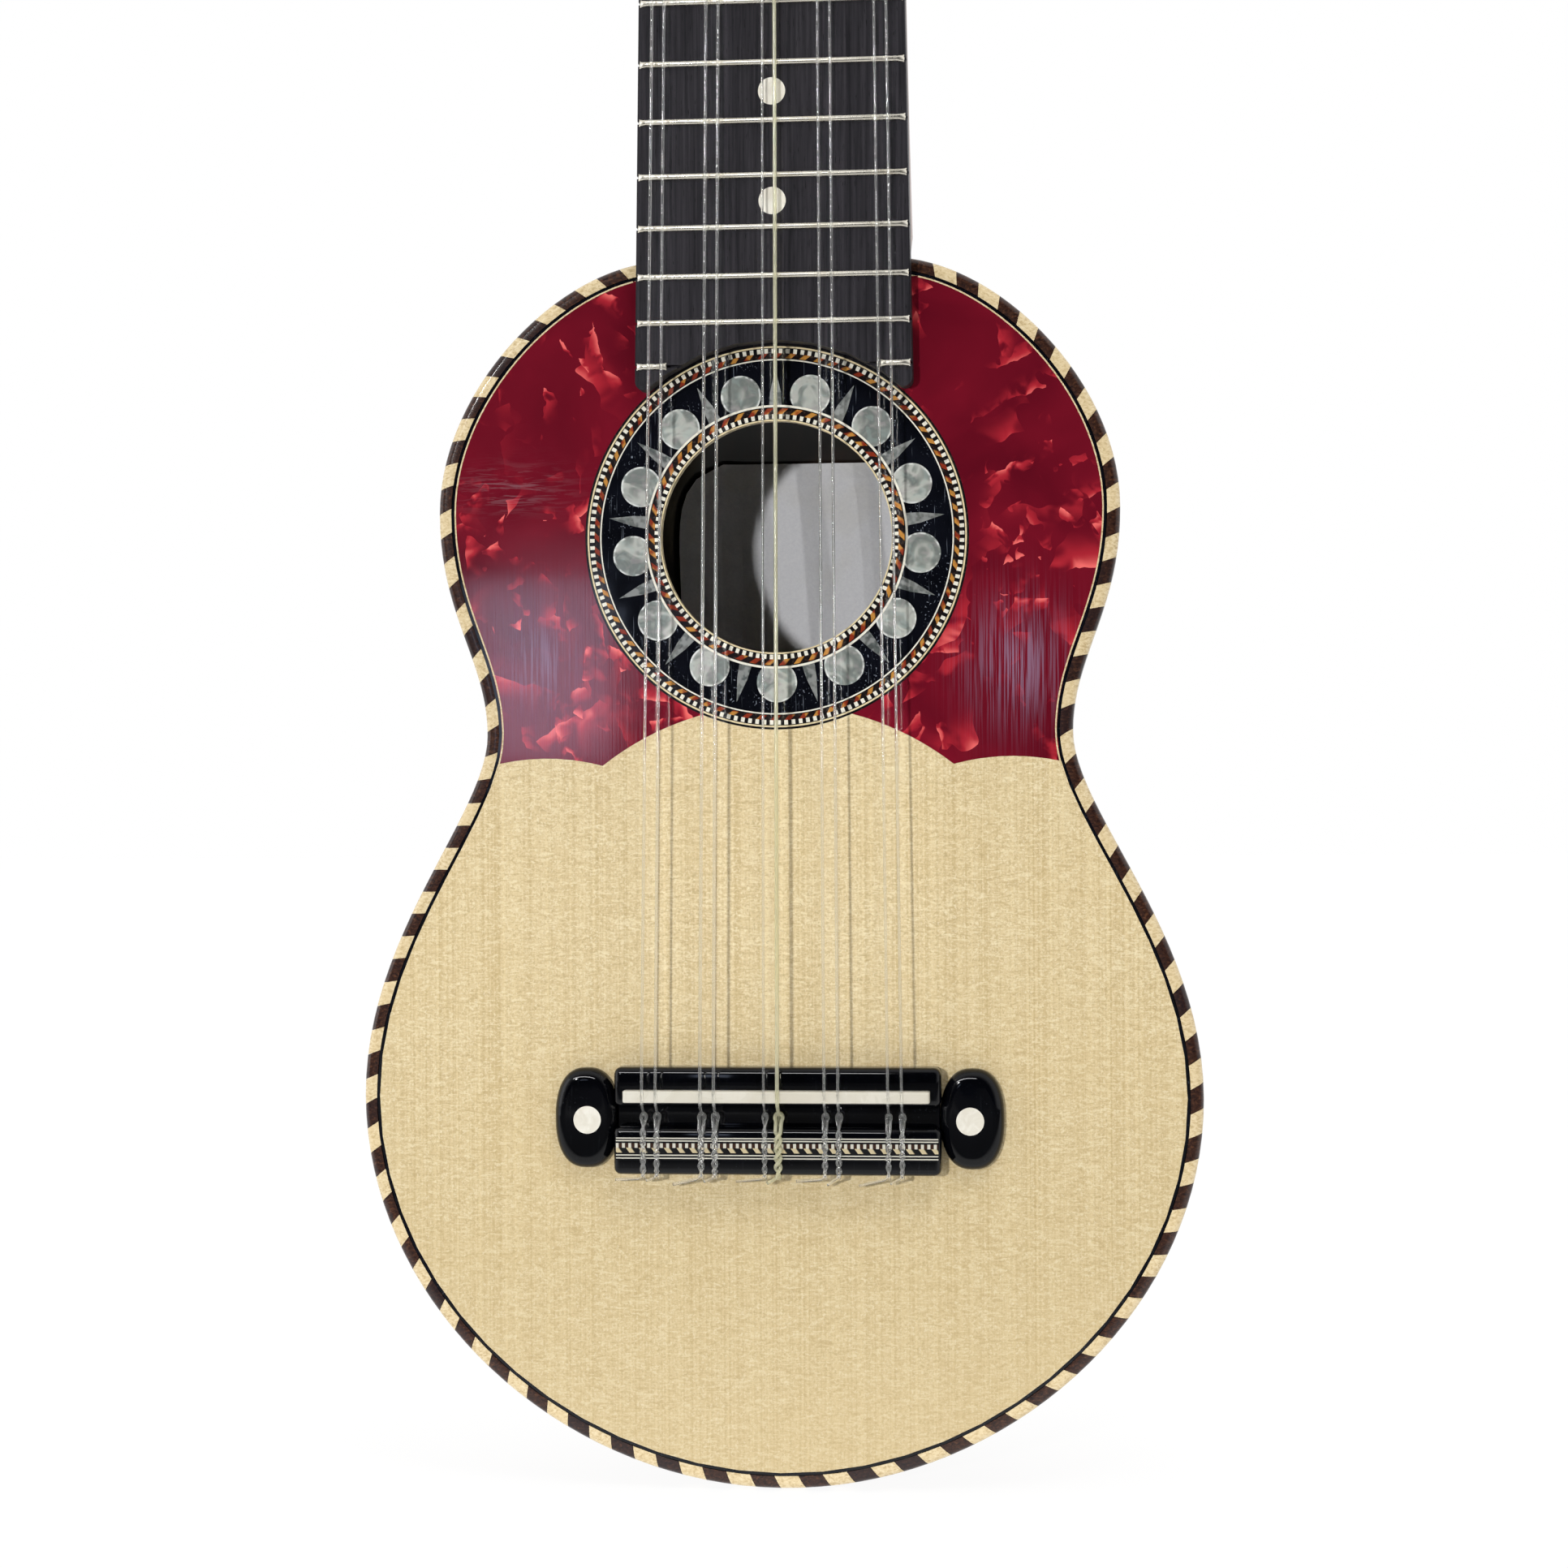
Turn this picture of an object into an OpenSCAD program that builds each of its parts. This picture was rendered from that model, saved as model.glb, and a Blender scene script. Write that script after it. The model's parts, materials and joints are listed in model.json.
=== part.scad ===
// Charango: a ten-string Andean lute with a carved bowl back, an inlaid spruce
// soundboard and a slotted head with two five-on-a-plate worm gear tuners.
// Frame: Z runs from the tail up the neck, the soundboard faces -Y.

/* [Strings and neck] */
// Vibrating string length, nut to saddle
scale_len = 368; // [366:1:374]
// Height of the saddle above the tail
saddle_z = 84.3; // [83:0.1:86]
// Fretboard width at the nut
nut_w = 52.4; // [51:0.1:54]
// Fretboard width where it meets the body
board_w = 58.2; // [57.6:0.1:58.8]
// Fretboard thickness
board_t = 5; // [4.5:0.1:5.5]
// Number of frets, the last one cut by the rosette
fret_count = 15; // [15:1:15]
// String course pitch at the nut
nut_pitch = 11; // [10.6:0.1:11.2]
// String height above the soundboard at the saddle
saddle_h = 8.7; // [8.6:0.1:8.9]

/* [Body] */
// Body length from tail to neck joint
body_len = 262; // [260:1:264]
// Half width across the lower bout
lower_half = 89.9; // [88:0.1:91]
// Half width across the waist
waist_half = 62.8; // [61:0.1:64]
// Half width across the upper bout
upper_half = 73; // [71:0.1:74]
// Depth of the bowl behind the soundboard
body_depth = 80; // [76:1:84]
// Depth of the bowl where it meets the neck heel
heel_depth = 44; // [42:1:46]
// Wall thickness of the carved bowl
wall = 6; // [5:0.5:7]

/* [Soundboard and inlay] */
// Soundboard thickness
top_t = 2.5; // [2.4:0.1:2.8]
// Width of the two-tone edge binding
bind_w = 2.8; // [2.6:0.1:3]
// Depth of the edge binding down the side
bind_t = 5; // [5:0.5:6]
// Length of one binding segment
bind_step = 5.3; // [5:0.1:6]
// Width of the black line inside the binding
purf_w = 0.65; // [0.5:0.05:0.8]
// Height of the soundhole centre above the tail
hole_z = 203; // [202:0.5:204]
// Soundhole radius
hole_r = 24.7; // [24:0.1:25]
// Number of pearl discs around the rosette
pearl_count = 13; // [11:1:13]

/* [Head and tuners] */
// Length of the head from the nut
head_len = 163; // [160:1:168]
// Head width
head_w = 66; // [66:1:68]
// Head thickness
head_t = 16; // [16:1:16]
// Backward tilt of the head in degrees
head_tilt = 10; // [8:1:12]
// Distance between neighbouring string rollers
roller_pitch = 23; // [23:0.5:24]
// Teeth on each roller gear, which is also the tuner ratio
gear_teeth = 14; // [14:1:14]

/* [Hidden] */
$fn = 48;
eps = 0.02;

// The soundboard face lies this far forward of the frame's Y zero, so that the whole
// instrument, strings to back, is centred on it.
front_reach = saddle_h + 1;
face_y = (front_reach - body_depth) / 2;

nut_z = saddle_z + scale_len;
nut_t = 5;
head_z = nut_z + nut_t;

// ---- body outline -------------------------------------------------------
// Four cubic curves per side: tail, lower bout, waist, upper bout and neck corner.
lower_z = 83.5;
waist_z = 161.2;
upper_z = 208.7;
corner_half = 28.4;
bout_curves = [
    [[0, 0], [47.2, 0], [lower_half, lower_z - 45.6], [lower_half, lower_z]],
    [[lower_half, lower_z], [lower_half, lower_z + 35], [waist_half, waist_z - 17],
     [waist_half, waist_z]],
    [[waist_half, waist_z], [waist_half, waist_z + 16], [upper_half, upper_z - 22],
     [upper_half, upper_z]],
    [[upper_half, upper_z], [upper_half, upper_z + 25.5], [corner_half + 21, body_len - 3],
     [corner_half, body_len]]];
bout_steps = [15, 11, 8, 11];

function bezier(c, t) = pow(1 - t, 3) * c[0] + 3 * pow(1 - t, 2) * t * c[1]
    + 3 * (1 - t) * t * t * c[2] + pow(t, 3) * c[3];
function unit(v) = v / norm(v);

half_outline = concat(
    [[0, 0]],
    [for (k = [0:3]) for (j = [1:bout_steps[k]]) bezier(bout_curves[k], j / bout_steps[k])],
    [[corner_half - 1, body_len]]);
half_n = len(half_outline);
ring_n = 2 * half_n - 1;
outline = [for (i = [0:ring_n - 1])
    i < half_n ? half_outline[i] : [-half_outline[ring_n - i][0], half_outline[ring_n - i][1]]];
function on_neck_line(p) = p[1] >= body_len && abs(p[0]) < corner_half - 0.5;
function tangent_at(i) = unit(outline[(i + 1) % ring_n] - outline[(i + ring_n - 1) % ring_n]);
function outward(i) = [tangent_at(i)[1], -tangent_at(i)[0]];
// Outline moved inwards, but hardly at all where the neck joins.
joint_inset = 0.1;
function inset_ring(d) = [for (i = [0:ring_n - 1])
    outline[i] - (on_neck_line(outline[i]) ? joint_inset : d) * outward(i)];

// ---- bowl surface -------------------------------------------------------
flat_from_z = 120;
spine_z = 62;
flat_angle = 80;
function back_depth(z) = z < flat_from_z ? body_depth
    : heel_depth + (body_depth - heel_depth)
        * (1 - pow((z - flat_from_z) / (body_len - flat_from_z), 2.2));
function side_curve(a) = pow(cos(a), 0.8);
// One ring of the bowl at angle a: 0 at the rim, 90 along the spine of the back.
function bowl_ring(ring, a, rim, skin) = [for (p = ring)
    let (c = side_curve(a),
         target = spine_z + skin + p[1] * (1 - (spine_z + skin) / body_len),
         z = p[1] + (target - p[1]) * (1 - c),
         d = rim + (back_depth(z) - skin - rim) * sin(a) / sin(flat_angle))
    [p[0] * c, face_y + d, z]];
function flat_ring(ring, d) = [for (p = ring) [p[0], face_y + d, p[1]]];
rim_wall = 7;
cavity_top = 246;
// Outline of the hollow at the rim: it stops short of the heel block.
squeeze_z = 190;
squeeze = (cavity_top - squeeze_z) / (body_len - rim_wall - squeeze_z);
cavity_ring = [for (i = [0:ring_n - 1])
    let (p = outline[i] - rim_wall * outward(i), x = on_neck_line(outline[i]) ? 0.85 : 1)
    [p[0] * x, p[1] < squeeze_z ? p[1] : squeeze_z + (p[1] - squeeze_z) * squeeze]];

// Triangles of a skin through rings of n points, closed at both ends across X.
function skin_faces(n, rings) = concat(
    [for (r = [0:rings - 2]) for (i = [0:n - 1]) for (f = [0:1])
        let (a = r * n + i, b = r * n + (i + 1) % n)
        f == 0 ? [a, b, a + n] : [b, b + n, a + n]]);
// The closing strip across the back ends in a fan, because the last points lie in line.
function strip_faces(n, base, up) =
    let (fan = half_n - 3, faces = concat(
        [for (i = [0:fan - 1]) for (f = [0:1])
            f == 0 ? [i, i + 1, n - i - 1] : [i, n - i - 1, (n - i) % n]],
        [for (k = [fan + 1:fan + 4]) [fan, k, k + 1]]))
    [for (t = faces) if (t[0] != t[2])
        up ? [for (k = t) base + k] : [for (k = [2:-1:0]) base + t[k]]];

cavity_angles = [80, 72, 63, 53, 43, 33, 22, 11, 0];
shell_angles = [0, 8, 16, 25, 34, 43, 52, 61, 70, 80];

module shell_polyhedron() {
    rings = concat(
        [for (a = cavity_angles) bowl_ring(cavity_ring, a, top_t, wall)],
        [flat_ring(inset_ring(bind_w), top_t), flat_ring(inset_ring(bind_w), bind_t)],
        [for (a = shell_angles) bowl_ring(outline, a, bind_t, 0)]);
    points = [for (r = rings) each r];
    last = (len(rings) - 1) * ring_n;
    polyhedron(points, concat(
        strip_faces(ring_n, 0, false),
        skin_faces(ring_n, len(rings)),
        strip_faces(ring_n, last, true)), convexity = 6);
}

// ---- helpers ------------------------------------------------------------
// A flat piece between two depths behind the soundboard face.
module layer(from, to) {
    translate([0, face_y + to, 0]) rotate([90, 0, 0]) linear_extrude(to - from) children();
}
// A box given by its two corners, with Y as depth behind the soundboard face.
module block(lo, hi) {
    translate([lo[0], face_y + lo[1], lo[2]]) cube([hi[0] - lo[0], hi[1] - lo[1], hi[2] - lo[2]]);
}
// A disc through the soundboard's layers, centred at height z.
module disc(x, z, r, from, to) {
    translate([x, face_y + from, z]) rotate([-90, 0, 0]) cylinder(r = r, h = to - from);
}
// The head's own frame: Y is depth behind its front face, Z runs up the head.
module on_head() {
    translate([0, face_y, head_z]) rotate([-head_tilt, 0, 0]) children();
}
// A cylinder along X from x0 to x1 in the head's frame.
module x_rod(x0, x1, y, z, r) {
    translate([min(x0, x1), y, z]) rotate([0, 90, 0]) cylinder(r = r, h = abs(x1 - x0));
}

// ---- body ---------------------------------------------------------------
tenon_w = 22;
tenon_len = 12;
tenon_from = 6;
tenon_to = 30;
label_half = 28;
label_z = 197;
label_t = 0.3;
label_rows = 16;
label_columns = 12;

module body_bowl() {
    color("saddlebrown") difference() {
        shell_polyhedron();
        block([-tenon_w / 2 - eps, tenon_from - eps, body_len - tenon_len - eps],
              [tenon_w / 2 + eps, tenon_to + eps, body_len + 1]);
    }
}
module board_shape() {
    polygon([for (i = [0:ring_n - 1])
        on_neck_line(outline[i]) ? outline[i]
            : outline[i] - (bind_w + purf_w) * outward(i)]);
}
plate_t = 0.8;
inlay_t = 1;
// Radii of the rosette: soundhole, inner ring, black field, outer ring.
ring_in = 28.1;
field_out = 37.6;
ring_out = 41.1;
// The red plate covers the upper bout down to three scallops.
scallop_mid = [0, 106.1, 61.2];
scallop_side = [49.9, 108.3, 47.7];
module plate_solid(t) {
    difference() {
        intersection() {
            layer(0, t) board_shape();
            block([-upper_half, -1, 140], [upper_half, t + 1, body_len - 4]);
        }
        for (s = [scallop_mid, scallop_side, [-scallop_side[0], scallop_side[1], scallop_side[2]]])
            disc(s[0], s[1], s[2], -1, t + 1);
        disc(0, hole_z, ring_out, -1, t + 1);
    }
}
module annulus(r_in, r_out, from, to) {
    difference() {
        disc(0, hole_z, r_out, from, to);
        disc(0, hole_z, r_in, from - 1, to + 1);
    }
}
module soundboard() {
    color("wheat") difference() {
        layer(0, top_t) board_shape();
        plate_solid(plate_t);
        disc(0, hole_z, ring_out, -1, inlay_t);
        disc(0, hole_z, hole_r, -2, top_t + 1);
    }
}
brace_h = 6;
module cross_braces() {
    color("burlywood") for (b = [[168, 52], [233.5, 34]])
        block([-b[1], top_t, b[0] - 4], [b[1], top_t + brace_h, b[0] + 4]);
}
patch_t = 1.6;
module bridge_patch() {
    color("peru") block([-45, top_t, 68], [45, top_t + patch_t, 90]);
}
module fan_braces() {
    color("burlywood") difference() {
        for (s = [-1, 0, 1]) {
            translate([s * 16, 0, 160]) rotate([0, s * -9, 0])
                block([-2.5, top_t, -125], [2.5, top_t + brace_h - 1, 0]);
        }
        block([-46, top_t - 1, 67.8], [46, top_t + patch_t, 90.2]);
    }
}
// Depth at which a paper label lies on the hollow's curved back.
cavity_half = 54;
function label_depth(x, z) =
    let (a = acos(pow(abs(x) / cavity_half, 1.25)))
    top_t + (back_depth(z) - wall - top_t) * min(1, sin(a) / sin(flat_angle)) - 0.9;
// Row j of the label's points, from one side to the other; its corners are round.
function label_row(j, lift) =
    let (t = 0.96 * (2 * j / label_rows - 1), z = label_z + label_half * t,
         half = label_half * pow(1 - pow(t, 4), 0.25))
    [for (k = [0:label_columns]) let (x = half * (2 * k / label_columns - 1))
        [x, face_y + label_depth(x, z) - lift, z]];
module blank_label() {
    m = label_columns + 1;
    n = label_rows + 1;
    back = n * m;
    points = concat([for (j = [0:n - 1]) each label_row(j, label_t)],
                    [for (j = [0:n - 1]) each label_row(j, 0)]);
    rim = concat([for (k = [0:m - 1]) k], [for (j = [1:n - 1]) j * m + m - 1],
                 [for (k = [m - 2:-1:0]) (n - 1) * m + k], [for (j = [n - 2:-1:1]) j * m]);
    color("ivory") polyhedron(points, concat(
        [for (j = [0:n - 2]) for (k = [0:m - 2]) for (f = [0:1])
            let (a = j * m + k) f == 0 ? [a, a + m, a + 1] : [a + 1, a + m, a + m + 1]],
        [for (j = [0:n - 2]) for (k = [0:m - 2]) for (f = [0:1])
            let (a = back + j * m + k) f == 0 ? [a, a + 1, a + m] : [a + 1, a + m + 1, a + m]],
        [for (k = [0:len(rim) - 1]) for (f = [0:1])
            let (a = rim[k], b = rim[(k + 1) % len(rim)])
            f == 0 ? [a, b, back + a] : [b, back + b, back + a]]), convexity = 4);
}
module pearloid_plate() {
    color("crimson") plate_solid(plate_t);
}

// ---- binding ------------------------------------------------------------
bind_slant = 1.5;
outline_len = [for (i = 0, s = 0; i < ring_n;
    s = s + norm(outline[(i + 1) % ring_n] - outline[i]), i = i + 1) s];
total_len = outline_len[ring_n - 1] + norm(outline[0] - outline[ring_n - 1]);
function index_at(s) = max([for (i = [0:ring_n - 1]) outline_len[i] <= s ? i : 0]);
// Point on the outline at distance s from the tail, moved inwards by d.
function along(s, d) =
    let (q = s < 0 ? s + total_len : (s >= total_len ? s - total_len : s),
         i = index_at(q), j = (i + 1) % ring_n,
         t = (q - outline_len[i]) / norm(outline[j] - outline[i]))
    (outline[i] * (1 - t) + outline[j] * t)
        - d * unit(outward(i) * (1 - t) + outward(j) * t);
neck_half_len = outline_len[half_n - 2];
bind_count = 2 * floor(neck_half_len / bind_step);
bind_len = 2 * neck_half_len / bind_count;
bind_fit = bind_w - 0.03;
// The inner edge of each joint lags the outer edge, which slants the joints.
function bind_points(k) =
    let (a = -neck_half_len + k * bind_len, b = a + bind_len,
         lag_a = k == 0 ? 0 : bind_slant, lag_b = k == bind_count - 1 ? 0 : bind_slant)
    concat([for (t = [0:4]) along(a + (b - a) * t / 4, 0)],
           [for (t = [4:-1:0]) along((a - lag_a) + (b - lag_b - a + lag_a) * t / 4, bind_fit)]);
module binding_segments(first) {
    for (k = [first:2:bind_count - 1])
        layer(0, bind_t) polygon(bind_points(k));
}
module binding_light() {
    color("cornsilk") binding_segments(0);
}
module binding_dark() {
    color("#3a1f16") binding_segments(1);
}
module purfling_line() {
    color("black") difference() {
        layer(0, top_t) polygon([for (p = [0:ring_n - 1])
            outline[p] - (bind_w + eps) * outward(p)]);
        layer(-1, top_t + 1) board_shape();
        block([-corner_half, -2, body_len - 20], [corner_half, top_t + 2, body_len + 1]);
    }
}

// ---- rosette ------------------------------------------------------------
pearl_r = 4.3;
pearl_at = 31;
pearl_step = 360 / pearl_count;
// The first disc stands straight below the soundhole, and the spikes stand between them.
module each_pearl(turn) {
    for (k = [0:pearl_count - 1])
        translate([0, 0, hole_z]) rotate([0, (k + turn) * pearl_step, 0]) children();
}
module pearl_discs(from, to) {
    difference() {
        each_pearl(0) translate([0, face_y + from, -pearl_at]) rotate([-90, 0, 0])
            cylinder(r = pearl_r, h = to - from);
        disc(0, hole_z, ring_in, from - 1, to + 1);
    }
}
module pearl_spikes(from, to) {
    difference() {
        each_pearl(0.5) translate([0, face_y + to, 0]) rotate([90, 0, 0])
            linear_extrude(to - from) polygon([[-1.5, -26], [1.5, -26], [1.1, -31], [0, -36.2],
                                               [-1.1, -31]]);
        disc(0, hole_z, ring_in, from - 1, to + 1);
    }
}
module rosette_field() {
    color("#101216") difference() {
        annulus(ring_in, field_out, 0, inlay_t);
        pearl_discs(-1, inlay_t + 1);
        pearl_spikes(-1, inlay_t + 1);
    }
}
module rosette_outer_ring() {
    color("tan") annulus(field_out, ring_out, 0, inlay_t);
}
module rosette_inner_ring() {
    color("tan") annulus(hole_r, ring_in, 0, inlay_t);
}
module rosette_discs() {
    color("gainsboro") pearl_discs(0, inlay_t);
}
module rosette_spikes() {
    color("gainsboro") pearl_spikes(0, inlay_t);
}

// ---- neck and fretboard -------------------------------------------------
// Half width of the neck and fretboard at height z.
function neck_half(z) = nut_w / 2 + (board_w - nut_w) / 2 * (nut_z - z) / (nut_z - body_len);
// Neck stations: height, half width, depth, straight side depth, corner squareness.
neck_stations = [
    [body_len, corner_half - 0.2, heel_depth, bind_t, 0.8],
    [body_len + 6, neck_half(body_len + 6), heel_depth - 3.4, 4.5, 0.8],
    [body_len + 13, neck_half(body_len + 13), heel_depth - 7.6, 4, 0.82],
    [body_len + 21, neck_half(body_len + 21), heel_depth - 12.8, 3.4, 0.86],
    [body_len + 29, neck_half(body_len + 29), heel_depth - 17.6, 3, 0.9],
    [body_len + 37, neck_half(body_len + 37), heel_depth - 21.2, 2.6, 0.94],
    [body_len + 46, neck_half(body_len + 46), heel_depth - 23.7, 2.2, 1],
    [body_len + 58, neck_half(body_len + 58), heel_depth - 25, 2, 1],
    [body_len + 100, neck_half(body_len + 100), heel_depth - 26, 2, 1],
    [nut_z - 24, neck_half(nut_z - 24), 16.6, 2, 1],
    [nut_z - 12, neck_half(nut_z - 12), 16, 3, 0.8],
    [nut_z - 3, nut_w / 2, 16, 5, 0.5],
    [head_z, nut_w / 2, head_t, 7, 0.35]];
neck_side = 9;
neck_n = 2 * neck_side + 4;
// Closed D section; the last station leans with the foot of the tilted head.
function neck_section(s) =
    let (lean = s[0] >= head_z ? tan(head_tilt) : 0,
         arc = [for (k = [0:neck_side]) let (a = 90 * k / neck_side)
             [s[1] * pow(cos(a), s[4]), s[3] + (s[2] - s[3]) * pow(sin(a), k == 0 ? 1 : s[4])]],
         half = concat([[s[1], 0]], arc),
         whole = concat(half, [for (k = [neck_side:-1:0]) [-half[k][0], half[k][1]]]))
    [for (p = whole) [p[0], face_y + p[1], s[0] - lean * p[1]]];
neck_loop = len(neck_section(neck_stations[0]));
module neck_loft() {
    rings = [for (s = neck_stations) neck_section(s)];
    last = (len(rings) - 1) * neck_loop;
    polyhedron([for (r = rings) each r], concat(
        [[for (k = [0:neck_loop - 1]) k]],
        [for (r = [0:len(rings) - 2]) for (k = [0:neck_loop - 1]) for (f = [0:1])
            let (a = r * neck_loop + k, b = r * neck_loop + (k + 1) % neck_loop)
            f == 0 ? [a, a + neck_loop, b] : [b, a + neck_loop, b + neck_loop]],
        [[for (k = [neck_loop - 1:-1:0]) last + k]]), convexity = 4);
}
module neck() {
    color("sienna") union() {
        neck_loft();
        block([-tenon_w / 2, tenon_from, body_len - tenon_len],
              [tenon_w / 2, tenon_to, body_len + 1]);
    }
}
function fret_z(n) = saddle_z + scale_len * pow(2, -n / 12);
marker_frets = [5, 7, 10, 12];
function marker_z(n) = (fret_z(n) + fret_z(n - 1)) / 2;
marker_r = 2.9;
marker_t = 1;
board_end_r = 41.4;
slot_w = 0.6;
slot_t = 2;
board_end_z = 232.6;
tip_r = 1.8;
tip_top_z = 250;
module board_outline(top_z) {
    polygon([[-neck_half(board_end_z), board_end_z], [neck_half(board_end_z), board_end_z],
             [neck_half(top_z), top_z], [-neck_half(top_z), top_z]]);
}
// The two tips beside the rosette are rounded.
module board_blank(from, to) {
    layer(from, to) union() {
        offset(r = tip_r, $fn = 32) offset(delta = -tip_r) difference() {
            board_outline(tip_top_z + 10);
            translate([0, hole_z]) circle(r = board_end_r);
        }
        difference() {
            board_outline(nut_z);
            translate([-board_w, board_end_z - 1]) square([2 * board_w, tip_top_z - board_end_z + 1]);
        }
    }
}
module fretboard() {
    color("#1d1b1e") difference() {
        board_blank(-board_t, 0);
        for (n = [1:fret_count])
            block([-40, -board_t - 1, fret_z(n) - slot_w / 2],
                  [40, -board_t + slot_t, fret_z(n) + slot_w / 2]);
        for (n = marker_frets)
            disc(0, marker_z(n), marker_r, -board_t - 1, -board_t + marker_t);
    }
}
crown_w = 1.6;
crown_h = 0.9;
crown_r = (crown_w * crown_w / 4 + crown_h * crown_h) / (2 * crown_h);
tang_w = 0.5;
module frets() {
    color("silver") difference() {
        for (n = [1:fret_count]) {
            half = neck_half(fret_z(n)) - 0.3;
            intersection() {
                translate([-half, face_y - board_t - crown_h + crown_r, fret_z(n)])
                    rotate([0, 90, 0]) cylinder(r = crown_r, h = 2 * half);
                block([-half - 1, -board_t - crown_h - 1, fret_z(n) - crown_w],
                      [half + 1, -board_t, fret_z(n) + crown_w]);
            }
            block([-half, -board_t - crown_h / 2, fret_z(n) - tang_w / 2],
                  [half, -board_t + slot_t - 0.2, fret_z(n) + tang_w / 2]);
        }
        disc(0, hole_z, board_end_r + 0.4, -20, 0);
    }
}
module fret_dots() {
    color("white") for (n = marker_frets)
        disc(0, marker_z(n), marker_r, -board_t, -board_t + marker_t);
}

// ---- strings ------------------------------------------------------------
// Where each course crosses the saddle, and the spread of its two strings.
saddle_courses = [-26.9, -14.5, -1, 11.8, 25.2];
saddle_pair = 2.9;
nut_pair = 2.4;
string_r = [0.3, 0.3, 0.34, 0.34, 0.26, 0.42, 0.3, 0.3, 0.28, 0.28];
function course(i) = floor(i / 2);
function side(i) = i % 2 == 0 ? -1 : 1;
function saddle_x(i) = saddle_courses[course(i)] + side(i) * saddle_pair / 2;
function nut_x(i) = (course(i) - 2) * nut_pitch + side(i) * nut_pair / 2;
nut_h = 6.6;

// Head layout: rollers cross two slots and end in the middle web.
web_half = 4.5;
slot_out = 21;
slot_low = 6;
slot_high = 137;
roller_z0 = 31;
roller_y = head_t / 2;
roller_r = 4;
pin_r = 2;
plate_x = head_w / 2;
sheet_t = 1.2;
winding_x = [18, 16.2, 13.4, 11, 8.6];
winding_turns = 3;
// Strings 0-4 go to the left rollers, the outermost string to the lowest roller.
function hand(i) = i < 5 ? -1 : 1;
function roller_row(i) = i < 5 ? i : 9 - i;
function roller_z(i) = roller_z0 + roller_row(i) * roller_pitch;
function coil_x(i) = hand(i) * winding_x[roller_row(i)];
// Point in the head's frame to the main frame.
function from_head(p) = [p[0],
    face_y + p[1] * cos(head_tilt) + p[2] * sin(head_tilt),
    head_z - p[1] * sin(head_tilt) + p[2] * cos(head_tilt)];
// The string reaches its roller on the front side, lying over the wound turns.
lay_gap = 0.06;
function roller_end(i) =
    let (from = [-nut_h * cos(head_tilt), nut_h * sin(head_tilt)],
         to = [roller_y, roller_z(i)], r = roller_r + 3 * string_r[i] + lay_gap,
         d = to - from, a = atan2(d[1], d[0]) + asin(r / norm(d)),
         reach = sqrt(pow(norm(d), 2) - r * r))
    [coil_x(i), from[0] + reach * cos(a), from[1] + reach * sin(a)];

tie_hole_h = 2.9;
tie_low = 67.6;
tie_high = 77.7;
tie_h = 6.5;
// Centre line of string i from its tie at the bridge to its roller.
function tie_path(i) =
    let (r = string_r[i], x = saddle_x(i), over = tie_h + r + 0.06, back = tie_low - r - 0.25)
    [for (q = [[tie_high + 0.95, 5.2], [tie_high + 0.75, over - 0.5], [tie_high + 0.1, over],
               [tie_low + 0.6, over], [back + 0.15, over - 0.5], [back, over - 1.3],
               [back, tie_hole_h + 0.6], [back + 0.3, tie_hole_h + 0.1],
               [tie_low + 0.5, tie_hole_h], [tie_high - 0.3, tie_hole_h],
               [tie_high + 0.3, tie_hole_h + 0.2]])
        [x, face_y - q[1], q[0]]];
function string_path(i) = concat(tie_path(i),
    [[saddle_x(i), face_y - saddle_h - string_r[i] - 0.03, saddle_z - saddle_w / 2 - 0.25],
     [nut_x(i), face_y - nut_h, nut_z],
     [nut_x(i), face_y - nut_h, head_z],
     from_head(roller_end(i))]);
function path_dir(path, k) = unit(
    (k < len(path) - 1 ? unit(path[k + 1] - path[k]) : [0, 0, 0])
    + (k > 0 ? unit(path[k] - path[k - 1]) : [0, 0, 0]));
function tube_ring(c, dir, r, sides) =
    let (u = unit([1, 0, 0] - dir[0] * dir), v = cross(dir, u))
    [for (s = [0:sides - 1]) c + r * (cos(360 * s / sides) * u + sin(360 * s / sides) * v)];
module tube(path, r, sides) {
    last = (len(path) - 1) * sides;
    polyhedron([for (k = [0:len(path) - 1]) each tube_ring(path[k], path_dir(path, k), r, sides)],
        concat([[for (s = [0:sides - 1]) s]],
            [for (k = [0:len(path) - 2]) for (s = [0:sides - 1]) for (f = [0:1])
                let (a = k * sides + s, b = k * sides + (s + 1) % sides)
                f == 0 ? [a, a + sides, b] : [b, a + sides, b + sides]],
            [[for (s = [sides - 1:-1:0]) last + s]]), convexity = 8);
}
module string(i) {
    color(i == 5 ? "khaki" : "whitesmoke") tube(string_path(i), string_r[i], 8);
}
module nut() {
    color("ivory") difference() {
        block([-nut_w / 2, -7.1, nut_z], [nut_w / 2, 0, head_z]);
        for (i = [0:9])
            translate([nut_x(i), face_y - nut_h, nut_z - 1]) cylinder(r = string_r[i] + 0.08, h = 7);
        for (i = [0:9])
            block([nut_x(i) - string_r[i] - 0.08, -8, nut_z - 1],
                  [nut_x(i) + string_r[i] + 0.08, -nut_h, head_z + 1]);
    }
}

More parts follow.
